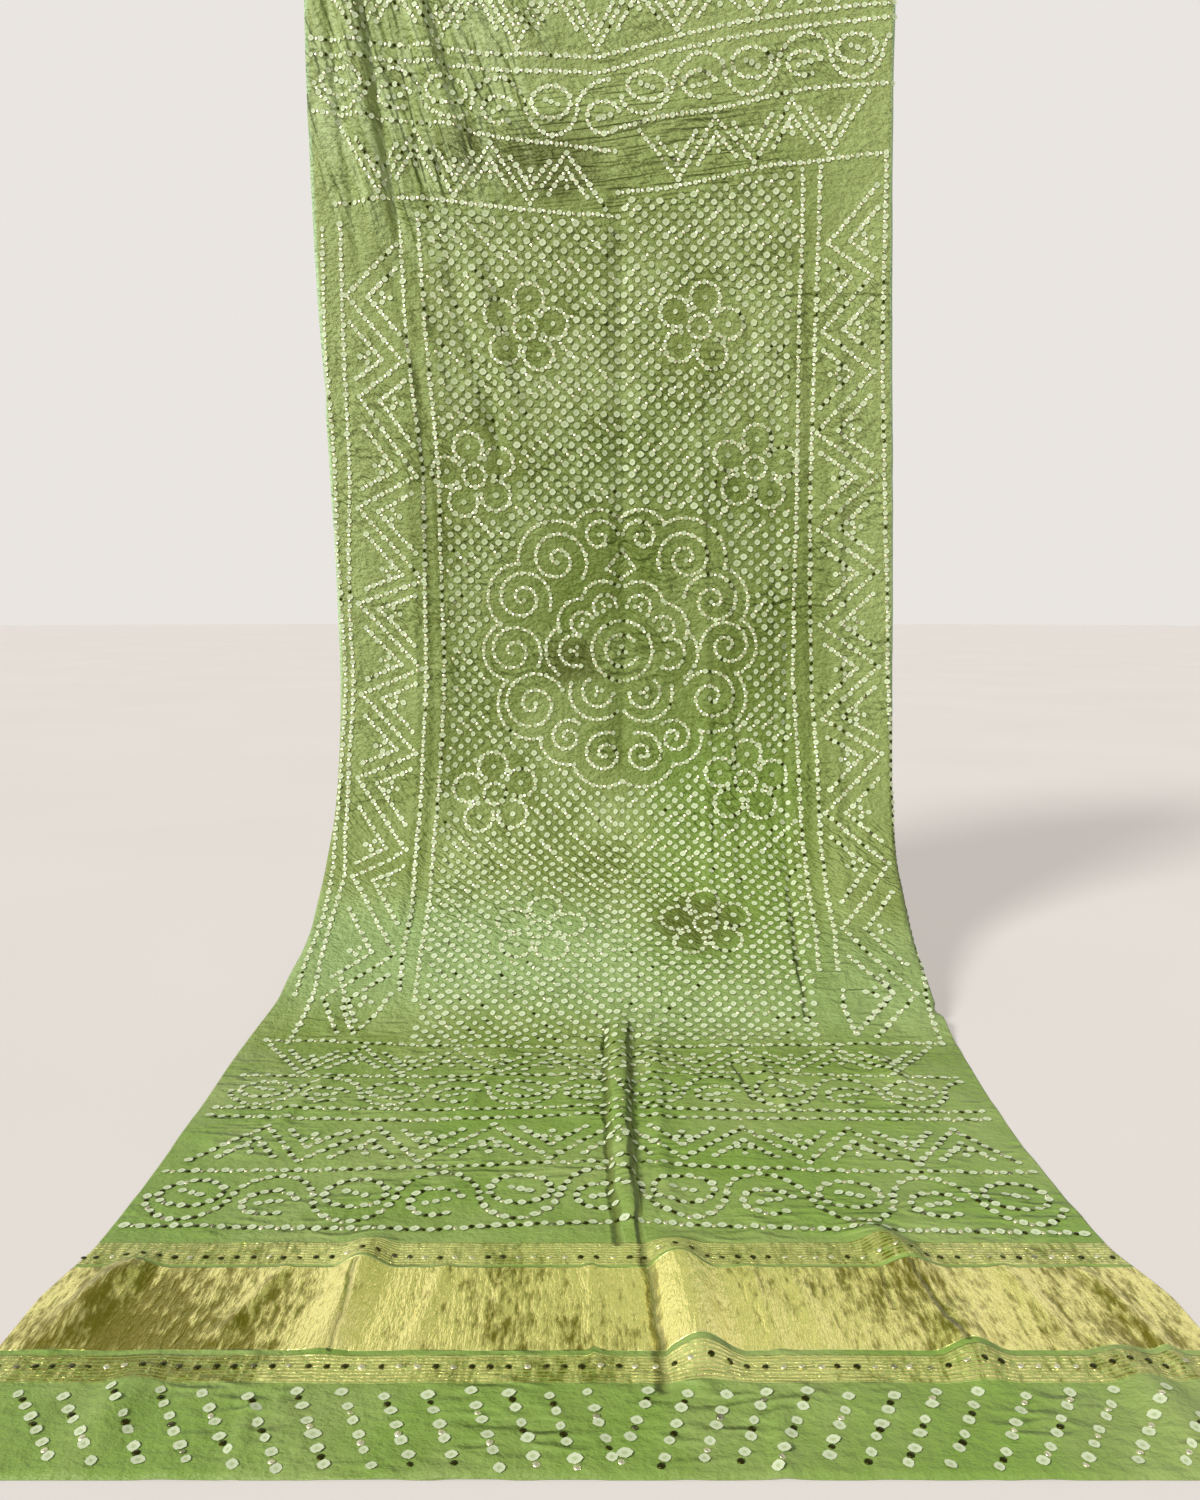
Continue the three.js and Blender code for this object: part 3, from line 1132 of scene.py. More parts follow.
class NodeWriter:
    """Adds shader nodes to one tree and links them."""

    def __init__(self, tree: bpy.types.NodeTree) -> None:
        """Starts on a node tree."""
        self.tree = tree

    def feed(self, socket: bpy.types.NodeSocket, value: object) -> None:
        """Links a socket to a wire, or sets its value.

        Args:
            socket: The input of a node.
            value: A wire to link to it, or its value.
        """
        if isinstance(value, Wire):
            self.tree.links.new(value.socket, socket)
        else:
            socket.default_value = value

    def add(self, kind: str, inputs: dict | None = None, **settings: object) -> bpy.types.Node:
        """Adds one node.

        Args:
            kind: Its type, without the word ShaderNode.
            inputs: Values or wires for its inputs, by name or number.
            **settings: Its own properties.

        Returns:
            The node.
        """
        node = self.tree.nodes.new(f"ShaderNode{kind}")
        for name, value in settings.items():
            setattr(node, name, value)
        for name, value in (inputs or {}).items():
            self.feed(node.inputs[name], value)
        return node

    def wire(self, kind: str, inputs: dict | None = None, output: int | str = 0, **settings: object) -> Wire:
        """Adds one node and returns the wire from one of its outputs."""
        return Wire(self, self.add(kind, inputs, **settings).outputs[output])

    def math(self, operation: str, *values: object, clamp: bool = False) -> Wire:
        """Adds a math node and returns its result."""
        return self.wire("Math", dict(enumerate(values)), operation=operation, use_clamp=clamp)

    def vector(self, operation: str, *values: object, output: int | str = 0) -> Wire:
        """Adds a vector math node and returns its result."""
        return self.wire("VectorMath", dict(enumerate(values)), output, operation=operation)

    def split(self, vector: Wire) -> list[Wire]:
        """The three parts of a vector."""
        return [Wire(self, part) for part in self.add("SeparateXYZ", {0: vector}).outputs]

    def place(self) -> Wire:
        """The place on the cloth in metres: across from the middle, and along from the top edge."""
        return self.wire("UVMap", uv_map="cloth_metres")

    def attribute(self, name: str) -> Wire:
        """A value stored in the mesh."""
        return self.wire("Attribute", output="Fac", attribute_name=name)

    def noise(self, vector: Wire, scale: float, detail: float = 2.0, rough: float = 0.5) -> Wire:
        """Adds a noise texture and returns its height, from 0 to 1."""
        return self.wire("TexNoise", {"Vector": vector, "Scale": scale, "Detail": detail, "Roughness": rough})

    def stretch(self, vector: Wire, x: float, y: float) -> Wire:
        """Scales a vector along and across the cloth."""
        return self.vector("MULTIPLY", vector, (x, y, 1.0))

    def lean(self, vector: Wire, degrees: float, x: float, y: float) -> Wire:
        """Turns a place on the cloth by an angle, then scales it along and across."""
        turned = {"Vector": vector, "Angle": math.radians(degrees)}
        return self.stretch(self.wire("VectorRotate", turned, rotation_type="Z_AXIS"), x, y)

    def ridges(self, vector: Wire) -> Wire:
        """Thin creases, as a height that is 1 on their ridges."""
        swing = self.math("ABSOLUTE", self.noise(vector, 1.0, 1.0, 0.55) - 0.5)
        return self.remap(swing, 0.0, 0.16, 1.0, 0.0)

    def remap(self, value: Wire, low: float, high: float, to_low: float = 0.0, to_high: float = 1.0) -> Wire:
        """Maps a range of values smoothly to another one."""
        inputs = dict(enumerate((value, low, high, to_low, to_high)))
        return self.wire("MapRange", inputs, interpolation_type="SMOOTHSTEP")

    def mix(self, share: object, first: object, second: object, blend: str = "MIX") -> Wire:
        """Mixes two colours and returns the result."""
        return self.wire("Mix", {0: share, 6: first, 7: second}, 2, data_type="RGBA", blend_type=blend)

    def patch(self, place: Wire, spot: Patch) -> Wire:
        """Distance from the middle of an oval patch: 0 in its middle and 1 at its edge.

        Args:
            place: The place on the cloth.
            spot: The patch.

        Returns:
            The distance.
        """
        across, along, wide, tall = spot
        offset = self.vector("SUBTRACT", place, (across, along, 0.0))
        return self.vector("LENGTH", self.stretch(offset, 1 / wide, 1 / tall), output="Value")

    def crease(self, place: Wire, crease: Crease) -> Wire:
        """A mask of one crease: its depth on its line, 0 beside it.

        Args:
            place: The place on the cloth.
            crease: The crease.

        Returns:
            The mask.
        """
        run = (crease.end[0] - crease.start[0], crease.end[1] - crease.start[1], 0.0)
        from_start = self.vector("SUBTRACT", place, (*crease.start, 0.0))
        share = self.vector("DOT_PRODUCT", from_start, run, output="Value")
        share = self.math("DIVIDE", share, run[0] ** 2 + run[1] ** 2, clamp=True)
        nearest = self.wire("VectorMath", {0: run, "Scale": share}, operation="SCALE")
        aside = self.vector("DISTANCE", from_start, nearest, output="Value")
        return self.remap(aside, 0.0, crease.width, crease.depth, 0.0)

    def between(self, value: Wire, low: float, high: float, soft: float) -> Wire:
        """A mask that is 1 between two values and fades at both."""
        above_low = self.remap(value, low - soft, low + soft)
        return above_low * self.remap(value, high - soft, high + soft, 1.0, 0.0)

    def use(self, group: bpy.types.NodeTree, place: Wire) -> dict[str, Wire]:
        """Adds a node group at a place on the cloth.

        Args:
            group: The node group.
            place: The place on the cloth.

        Returns:
            A wire for each output.
        """
        node = self.add("Group", {}, node_tree=group)
        self.feed(node.inputs["Place"], place)
        return {socket.name: Wire(self, socket) for socket in node.outputs}

    def give(self, **values: Wire) -> bpy.types.NodeTree:
        """Feeds the outputs of a node group.

        Args:
            **values: A wire for each output.

        Returns:
            The group.
        """
        result = self.tree.nodes.new("NodeGroupOutput")
        for name, value in values.items():
            self.feed(result.inputs[name], value)
        return self.tree

    def principled(self, inputs: dict[str, object]) -> None:
        """Ends a material with the surface that these inputs give."""
        self.add("OutputMaterial", {"Surface": self.wire("BsdfPrincipled", inputs)})


def new_group(name: str, outputs: dict[str, str]) -> tuple[NodeWriter, Wire]:
    """Makes a node group that takes a place on the cloth in metres.

    Args:
        name: Its name.
        outputs: Its outputs, as socket types by name.

    Returns:
        A writer for its nodes, and the place.
    """
    tree = bpy.data.node_groups.new(name, "ShaderNodeTree")
    tree.interface.new_socket("Place", in_out="INPUT", socket_type="NodeSocketVector")
    for socket, kind in outputs.items():
        tree.interface.new_socket(socket, in_out="OUTPUT", socket_type=f"NodeSocket{kind}")
    writer = NodeWriter(tree)
    return writer, Wire(writer, tree.nodes.new("NodeGroupInput").outputs["Place"])


def new_material(name: str) -> tuple[bpy.types.Material, NodeWriter]:
    """Makes an empty material and a writer for its nodes.

    Args:
        name: Its name.

    Returns:
        The material and the writer.
    """
    material = bpy.data.materials.new(name)
    material.use_nodes = True
    material.node_tree.nodes.clear()
    return material, NodeWriter(material.node_tree)


@dataclass(frozen=True)
class DyedSilk:
    """The green dye, as uneven as a dip-dyed cloth, shared by the sheet and its tied dots, with painted light
    and shade in it: lighter side edges, a darker middle of the field and a brighter green where the cloth
    lies.

    Each patch is the place of its middle across and along, and how far it reaches both ways, in metres.
    """

    green: Colour = (0.147, 0.193, 0.036, 1.0)
    light: Colour = (0.292, 0.362, 0.124, 1.0)
    # Painted shade: the darker green of the middle of the field.
    shaded_green: Colour = (0.115, 0.165, 0.021, 1.0)
    pale_band_green: Colour = (0.270, 0.385, 0.150, 1.0)
    # Painted highlight on the fan of pleats.
    pleat_highlight_colour: Colour = (0.345, 0.425, 0.185, 1.0)
    # Painted light: the brighter green of the part that lies on the floor.
    lying: Colour = (0.187, 0.307, 0.054, 1.0)
    mossy: Colour = (0.140, 0.225, 0.030, 1.0)
    olive: Colour = (0.085, 0.100, 0.014, 1.0)
    selvedge: Colour = (0.42, 0.60, 0.34, 1.0)
    stains: tuple[Patch, ...] = (
        (-0.075, 0.315, 0.085, 0.062),
        (-0.195, 0.300, 0.075, 0.045),
        (-0.070, 1.055, 0.055, 0.045),
        (0.122, 1.495, 0.075, 0.060),
    )
    # Painted shade: the part of the field that is darkened.
    middle: Patch = (0.09, 0.97, 0.30, 0.34)
    top: Patch = (0.05, -0.02, 1.05, 0.62)
    fan: Patch = (-0.30, 0.13, 0.26, 0.36)
    pulls: Patch = (0.06, 0.29, 0.30, 0.13)

    def group(self) -> bpy.types.NodeTree:
        """Builds the dye as a node group.

        Returns:
            A group that takes a place on the cloth in metres and gives Colour.
        """
        writer, place = new_group("silk_dye", {"Colour": "Color"})
        across, along, _ = writer.split(place)
        aside = writer.math("ABSOLUTE", across)
        broad = writer.remap(writer.noise(place, 6.0, 4.0, 0.6), 0.36, 0.66)
        cloudy = writer.remap(writer.noise(place, 23.0, 3.0, 0.6), 0.3, 0.72)

        # Painted light: a brighter, more saturated green where the cloth lies on the floor, for the light
        # that falls on it there.
        colour = writer.mix(writer.remap(along, 1.55, 1.95, 0.0, 0.85), self.green, self.lying)
        # Painted shade: darker green over the middle of the field.
        painted_middle_shade = writer.remap(writer.patch(place, self.middle), 0.55, 1.1, 0.75, 0.0)
        colour = writer.mix(painted_middle_shade, colour, self.shaded_green)

        # Painted light: paler towards both side edges of the hanging part; the broad noise that shares this
        # mix is uneven dye.
        lit_edges = writer.remap(aside, 0.22, 0.41, 0.0, 0.85) * writer.remap(along, 0.9, 1.7, 1.0, 0.1)
        paler = writer.math("MAXIMUM", broad * 0.65, lit_edges)
        paler = paler * writer.remap(painted_middle_shade, 0.0, 0.75, 1.0, 0.6)
        # Lighter towards the top edge.
        near_top = writer.remap(writer.patch(place, self.top), 0.2, 1.0, 0.9, 0.0)
        near_top = near_top * writer.remap(broad, 0.0, 1.0, 0.75, 1.0)
        colour = writer.mix(writer.math("MAXIMUM", paler, near_top), colour, self.light)

        # A paler band across the cloth, about 1.45 to 1.66 m from the top edge, 60 mm lower on the right and
        # stronger on the left.
        slanted = along - writer.remap(across, -0.1, 0.1, 0.0, 0.06)
        pale_band = writer.between(slanted, 1.45, 1.66, 0.07) * writer.remap(across, -0.1, 0.15, 0.72, 0.5)
        colour = writer.mix(pale_band, colour, self.pale_band_green)
        lower_right = writer.between(across, 0.05, 0.29, 0.05) * writer.between(along, 1.16, 1.60, 0.10)
        colour = writer.mix(lower_right * 0.8, colour, self.mossy)
        colour = writer.mix(cloudy * 0.55, colour, writer.mix(0.30, colour, self.olive))

        torn = writer.noise(place, 30.0, 2.0)
        for spot in self.stains:
            stain = writer.remap(writer.patch(place, spot) + torn * 0.7, 0.8, 1.5, 0.75, 0.0)
            colour = writer.mix(stain, colour, self.olive)
        edge = writer.remap(aside, 0.4285, 0.4325, 0.0, 0.7) * writer.remap(along, 0.95, 1.3, 1.0, 0.0)
        return writer.give(Colour=writer.mix(edge, colour, self.selvedge))

    def material(self, dye: bpy.types.NodeTree, zari: "GoldBand") -> bpy.types.Material:
        """Builds the finish of the sheet: crinkled silk with the woven gold band near its end, painted
        highlight streaks on the fan of pleats and painted shade along the creases.

        Args:
            dye: The dye's node group.
            zari: The gold band.

        Returns:
            The material.
        """
        material, writer = new_material("dyed_silk_and_gold_band")
        place = writer.place()
        along = writer.split(place)[1]
        gold = writer.use(zari.group(), place)
        in_fan = writer.patch(place, self.fan)

        threads = writer.noise(writer.stretch(place, 260.0, 1500.0), 1.0, 2.0)
        shade = writer.remap(threads, 0.3, 0.7, 0.93, 1.05)
        shade = writer.wire("CombineColor", {0: shade, 1: shade, 2: shade})
        silk = writer.mix(1.0, writer.use(dye, place)["Colour"], shade, "MULTIPLY")
        # Painted highlight: pale streaks leaning with the fan of pleats at the top left, where light catches
        # their ridges.
        pleat_highlight = writer.remap(writer.noise(writer.lean(place, 17.0, 75.0, 5.0), 1.0, 3.0), 0.44, 0.6)
        silk = writer.mix(pleat_highlight * writer.remap(in_fan, 0.5, 1.1, 0.8, 0.0), silk, self.pleat_highlight_colour)
        colour = writer.mix(gold["Mask"], silk, gold["Colour"])

        wander = (writer.noise(writer.stretch(place, 22.0, 22.0), 1.0, 2.0) - 0.5) * 0.012
        wandered = writer.vector("ADD", place, writer.wire("CombineXYZ", {0: wander}))
        pressed = 0.0
        for crease in CREASES:
            pressed = writer.math("MAXIMUM", writer.crease(wandered, crease), pressed)

        crinkle = writer.noise(writer.stretch(place, 95.0, 120.0), 1.0, 3.0, 0.6)
        height = crinkle * writer.remap(along, 1.5, 2.0, 2.0, 0.9)
        patchy = writer.remap(writer.noise(writer.stretch(place, 7.0, 9.0), 1.0, 1.0), 0.45, 0.62)
        hanging = writer.remap(patchy, 0.0, 1.0, 0.35, 0.95) * writer.remap(along, 1.3, 1.7, 0.8, 0.05)
        pulled = writer.remap(writer.patch(place, self.pulls), 0.4, 1.0, 1.0, 0.0)
        # Sets of creases: the turn in degrees, creases per metre both ways, their height and where they are.
        for turn, x, y, strength, where in (
            (0.0, 14.0, 44.0, 0.85, patchy),
            (-38.0, 34.0, 100.0, 1.0, hanging),
            (17.0, 55.0, 6.0, 1.5, writer.remap(in_fan, 0.45, 1.0, 1.0, 0.0)),
            (7.0, 8.0, 90.0, 1.0, pulled),
        ):
            height = height + writer.ridges(writer.lean(place, turn, x, y)) * (where * strength)
        height = (height + threads * 0.05) * (1.0 - gold["Mask"]) + gold["Height"] - pressed * 1.3

        writer.principled({
            # Painted shade: the creases are darkened with olive as well as pressed into the bump.
            "Base Color": writer.mix(pressed * 0.7, colour, self.olive),
            "Metallic": gold["Mask"] * 0.75,
            "Roughness": writer.remap(gold["Mask"], 0.0, 1.0, 0.52, 0.2),
            "Specular IOR Level": 0.3,
            "Normal": writer.wire("Bump", {"Height": height, "Distance": 0.003, "Strength": 1.0}),
        })
        return material


@dataclass(frozen=True)
class GoldBand:
    """The woven gold band with narrow stripes on both sides, in metres from the top edge."""

    upper_stripes: Spot = (2.1965, 2.2300)
    band: Spot = (2.2335, 2.3425)
    lower_stripes: Spot = (2.3490, 2.3790)
    thread_gap: float = 0.0038
    bright_gold_and_glint: Colour = (1.0, 0.93, 0.35, 1.0)
    dark_gold_and_shade: Colour = (0.25, 0.225, 0.022, 1.0)

    def group(self) -> bpy.types.NodeTree:
        """Builds the band as a node group.

        Returns:
            A group that takes a place on the cloth in metres and gives Mask, Colour and Height.
        """
        writer, place = new_group("gold_band", {"Mask": "Float", "Colour": "Color", "Height": "Float"})
        across, along, _ = writer.split(place)
        along = along + (writer.noise(writer.stretch(place, 9.0, 0.0), 1.0, 1.0) * 0.004 - 0.002)

        threads = writer.remap(writer.math("SINE", along * (math.tau / self.thread_gap)), -0.35, 0.35)
        dashes = writer.remap(writer.noise(writer.stretch(place, 170.0, 420.0), 1.0, 1.0), 0.36, 0.5)
        woven = writer.math("ADD", threads * dashes, 0.22, clamp=True)
        upper = writer.between(along, *self.upper_stripes, 0.0008)
        lower = writer.between(along, *self.lower_stripes, 0.0008)
        striped = writer.math("ADD", upper, lower, clamp=True) * woven
        mask = writer.math("MAXIMUM", writer.between(along, *self.band, 0.0006), striped)

        streaks = writer.noise(writer.stretch(place, 105.0, 20.0), 1.0, 4.0, 0.72)
        foil = writer.noise(writer.stretch(place, 200.0, 60.0), 1.0, 2.0, 0.6)
        grain = writer.noise(writer.stretch(place, 420.0, 500.0), 1.0, 2.0)
        cloud = writer.noise(writer.stretch(place, 7.0, 3.5), 1.0, 1.0)
        # Painted glints and shade: the tone follows the same streaks and foil as the bump, so it is partly
        # uneven gilt and partly painted highlights of the crumpled band, and it is darker at both ends with
        # painted shade for the folds there.
        tone = streaks * 0.55 + cloud * 0.5 + foil * 0.45 + writer.remap(across, -0.27, -0.17, -0.07, 0.03)
        tone = tone + writer.remap(across, 0.22, 0.27, 0.03, -0.03)
        return writer.give(
            Mask=mask,
            Colour=writer.mix(writer.remap(tone, 0.61, 0.83), self.dark_gold_and_shade, self.bright_gold_and_glint),
            Height=(streaks * 0.85 + grain * 0.14 + foil * 0.65) * mask,
        )


@dataclass(frozen=True)
class TiedDot:
    """The undyed ring that a tie leaves, with a little dye at its heart."""

    undyed: Colour = (0.53, 0.59, 0.39, 1.0)
    heart: Colour = (0.27, 0.35, 0.14, 1.0)

    def material(self, dye: bpy.types.NodeTree) -> bpy.types.Material:
        """Builds the finish of the dots.

        Args:
            dye: The dye's node group.

        Returns:
            The material.
        """
        material, writer = new_material("tied_dot_silk")
        place = writer.place()
        dyed = writer.use(dye, place)["Colour"]
        grain = writer.noise(place, 700.0)
        ragged = writer.attribute("tie") + (grain - 0.5) * 0.3
        colour = writer.mix(writer.remap(ragged, 0.2, 0.55), dyed, self.undyed)
        colour = writer.mix(writer.remap(ragged, 1.4, 1.85, 0.0, 0.6), colour, self.heart)
        writer.principled({
            "Base Color": writer.mix(writer.attribute("faded"), colour, dyed),
            "Roughness": 0.55,
            "Specular IOR Level": 0.3,
            "Normal": writer.wire("Bump", {"Height": grain, "Distance": 0.0006, "Strength": 0.5}),
        })
        return material


@dataclass(frozen=True)
class SequinMetal:
    """Thin gilt sequins, slightly tarnished; the dark ones are partly tarnish and partly painted shade and
    painted dark reflection.
    """

    gilt: Colour = (1.0, 0.97, 0.68, 1.0)
    tarnish_and_shade: Colour = (0.06, 0.06, 0.012, 1.0)

    def material(self) -> bpy.types.Material:
        """Builds the finish of the sequins.

        Returns:
            The material.
        """
        material, writer = new_material("gilt_sequin")
        worn_and_shaded = writer.attribute("worn_and_shaded")
        writer.principled({
            # The dark share paints shade and dark reflection as well as tarnish.
            "Base Color": writer.mix(worn_and_shaded, self.gilt, self.tarnish_and_shade),
            "Metallic": 1.0,
            "Roughness": writer.remap(worn_and_shaded, 0.0, 1.0, 0.42, 0.35),
        })
        return material


# Pieces


def object_from(mesh: bpy.types.Mesh, name: str, material: bpy.types.Material) -> bpy.types.Object:
    """Makes an object of a mesh, smooth and dressed, on the cloth's body.

    Args:
        mesh: Its mesh.
        name: Its name.
        material: Its finish.

    Returns:
        The object.
    """
    mesh.materials.append(material)
    mesh.polygons.foreach_set("use_smooth", [True] * len(mesh.polygons))
    mesh.update()
    piece = bpy.data.objects.new(name, mesh)
    bpy.context.scene.collection.objects.link(piece)
    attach(piece, "root")
    return piece


@dataclass
class SilkSheet:
    """The cloth itself: a thin sheet on the solid's folds, with wider strips where it hangs."""

    drape: Drape
    strips_across: int = 184
    strips_in_roll: int = 8
    strips_hanging: int = 125
    strips_lying: int = 115
    hanging_until: float = 1400.0

    def places(self, u: np.ndarray, v: np.ndarray) -> tuple[np.ndarray, np.ndarray]:
        """Distances across and along of the grid's corners.

        Args:
            u: Column numbers.
            v: Row numbers.

        Returns:
            The distances, in millimetres.
        """
        lying = self.drape.length - self.hanging_until
        above = v * self.hanging_until / self.strips_hanging
        below = self.hanging_until + (v - self.strips_hanging) * lying / self.strips_lying
        along = np.where(v <= self.strips_hanging, above, below)
        left, left_length, _ = self.drape.roll(along, "left_turn")
        right, right_length, _ = self.drape.roll(along, "right_turn")
        last = self.strips_in_roll + self.strips_across
        across = -left + (left + right) * ((u - self.strips_in_roll) / self.strips_across)
        in_left_roll = -left - left_length * (1 - u / self.strips_in_roll)
        across = np.where(u < self.strips_in_roll, in_left_roll, across)
        in_right_roll = right + right_length * ((u - last) / self.strips_in_roll)
        return np.where(u > last, in_right_roll, across), along

    def build(self, material: bpy.types.Material) -> bpy.types.Object:
        """Builds the sheet in its finish.

        Args:
            material: Its finish.

        Returns:
            The sheet.
        """
        columns = self.strips_across + 2 * self.strips_in_roll
        rows = self.strips_hanging + self.strips_lying
        shape = bmesh.new()
        bmesh.ops.create_grid(shape, x_segments=columns, y_segments=rows, size=1.0)
        mesh = bpy.data.meshes.new("silk_sheet")
        shape.to_mesh(mesh)
        shape.free()
        flat = np.empty(len(mesh.vertices) * 3)
        mesh.vertices.foreach_get("co", flat)
        flat = flat.reshape(-1, 3)
        u = np.rint((flat[:, 0] + 1) / 2 * columns)
        v = np.rint((1 - flat[:, 1]) / 2 * rows)
        across, along = self.places(u, v)
        mesh.vertices.foreach_set("co", self.drape.place(across, along).ravel())
        corners = np.empty(len(mesh.loops), dtype=int)
        mesh.loops.foreach_get("vertex_index", corners)
        places = np.stack([across[corners], along[corners]], axis=1) * MM
        mesh.uv_layers.new(name="cloth_metres").data.foreach_set("uv", places.ravel())
        sheet = object_from(mesh, "silk_sheet", material)
        solidify = sheet.modifiers.new("silk thickness", "SOLIDIFY")
        solidify.thickness = SILK_THICKNESS * MM
        solidify.offset = -1.0
        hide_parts("bandhani_cloth")
        log.info("silk sheet: %d by %d strips, %.0f mm long", columns, rows, self.drape.length)
        return sheet


def take_out(shape: bmesh.types.BMesh) -> tuple[np.ndarray, list[tuple[int, ...]]]:
    """Takes the points and the faces out of a shape, and frees it.

    Args:
        shape: The shape.

    Returns:
        The points, and each face as point numbers.
    """
    shape.verts.index_update()
    points = np.array([corner.co[:] for corner in shape.verts])
    faces = [tuple(corner.index for corner in face.verts) for face in shape.faces]
    shape.free()
    return points, faces


def tie_shape() -> Shape:
    """One tied dot of width 1: a low pucker, highest at its undyed ring.

    Returns:
        Its points, its faces, and for each point 0 where dyed, 1 on the ring and 2 at the heart.
    """
    skirt, ring, heart = -0.05, 0.17, 0.12
    shape = bmesh.new()
    bmesh.ops.create_circle(shape, cap_ends=True, segments=8, radius=0.6)
    inset = bmesh.ops.inset_region(shape, faces=shape.faces[:], thickness=0.24, use_even_offset=True)
    inner = [face for face in shape.faces if face not in inset["faces"]]
    for corner in inner[0].verts:
        corner.co.z = ring
    bmesh.ops.poke(shape, faces=inner)
    for corner in shape.verts:
        corner.co.xy *= 0.95 + 0.05 * math.cos(4 * math.atan2(corner.co.y, corner.co.x))
        if corner.co.xy.length < 0.01:
            corner.co.z = heart
        elif corner.co.z < 0.01:
            corner.co.z = skirt
    points, faces = take_out(shape)
    in_middle = np.hypot(points[:, 0], points[:, 1]) < 0.01
    return points, faces, np.where(points[:, 2] < 0, 0.0, np.where(in_middle, 2.0, 1.0))


def tie_back_shape() -> Shape:
    """The back of one tied dot of width 1: a flat undyed spot that faces down.

    Returns:
        Its points, its faces, and for each point how undyed it is.
    """
    shape = bmesh.new()
    bmesh.ops.create_circle(shape, cap_ends=True, cap_tris=True, segments=8, radius=0.55)
    bmesh.ops.reverse_faces(shape, faces=shape.faces[:])
    points, faces = take_out(shape)
    return points, faces, 1.2 - 2.2 * np.hypot(points[:, 0], points[:, 1])


def sequin_shape() -> Shape:
    """One sequin of width 1: a thin, slightly domed disc.

    Returns:
        Its points, its faces, and a zero for each of its points.
    """
    shape = bmesh.new()
    bmesh.ops.create_cone(shape, cap_ends=True, segments=8, radius1=0.5, radius2=0.38, depth=0.12)
    points, faces = take_out(shape)
    return points, faces, np.zeros(len(points))


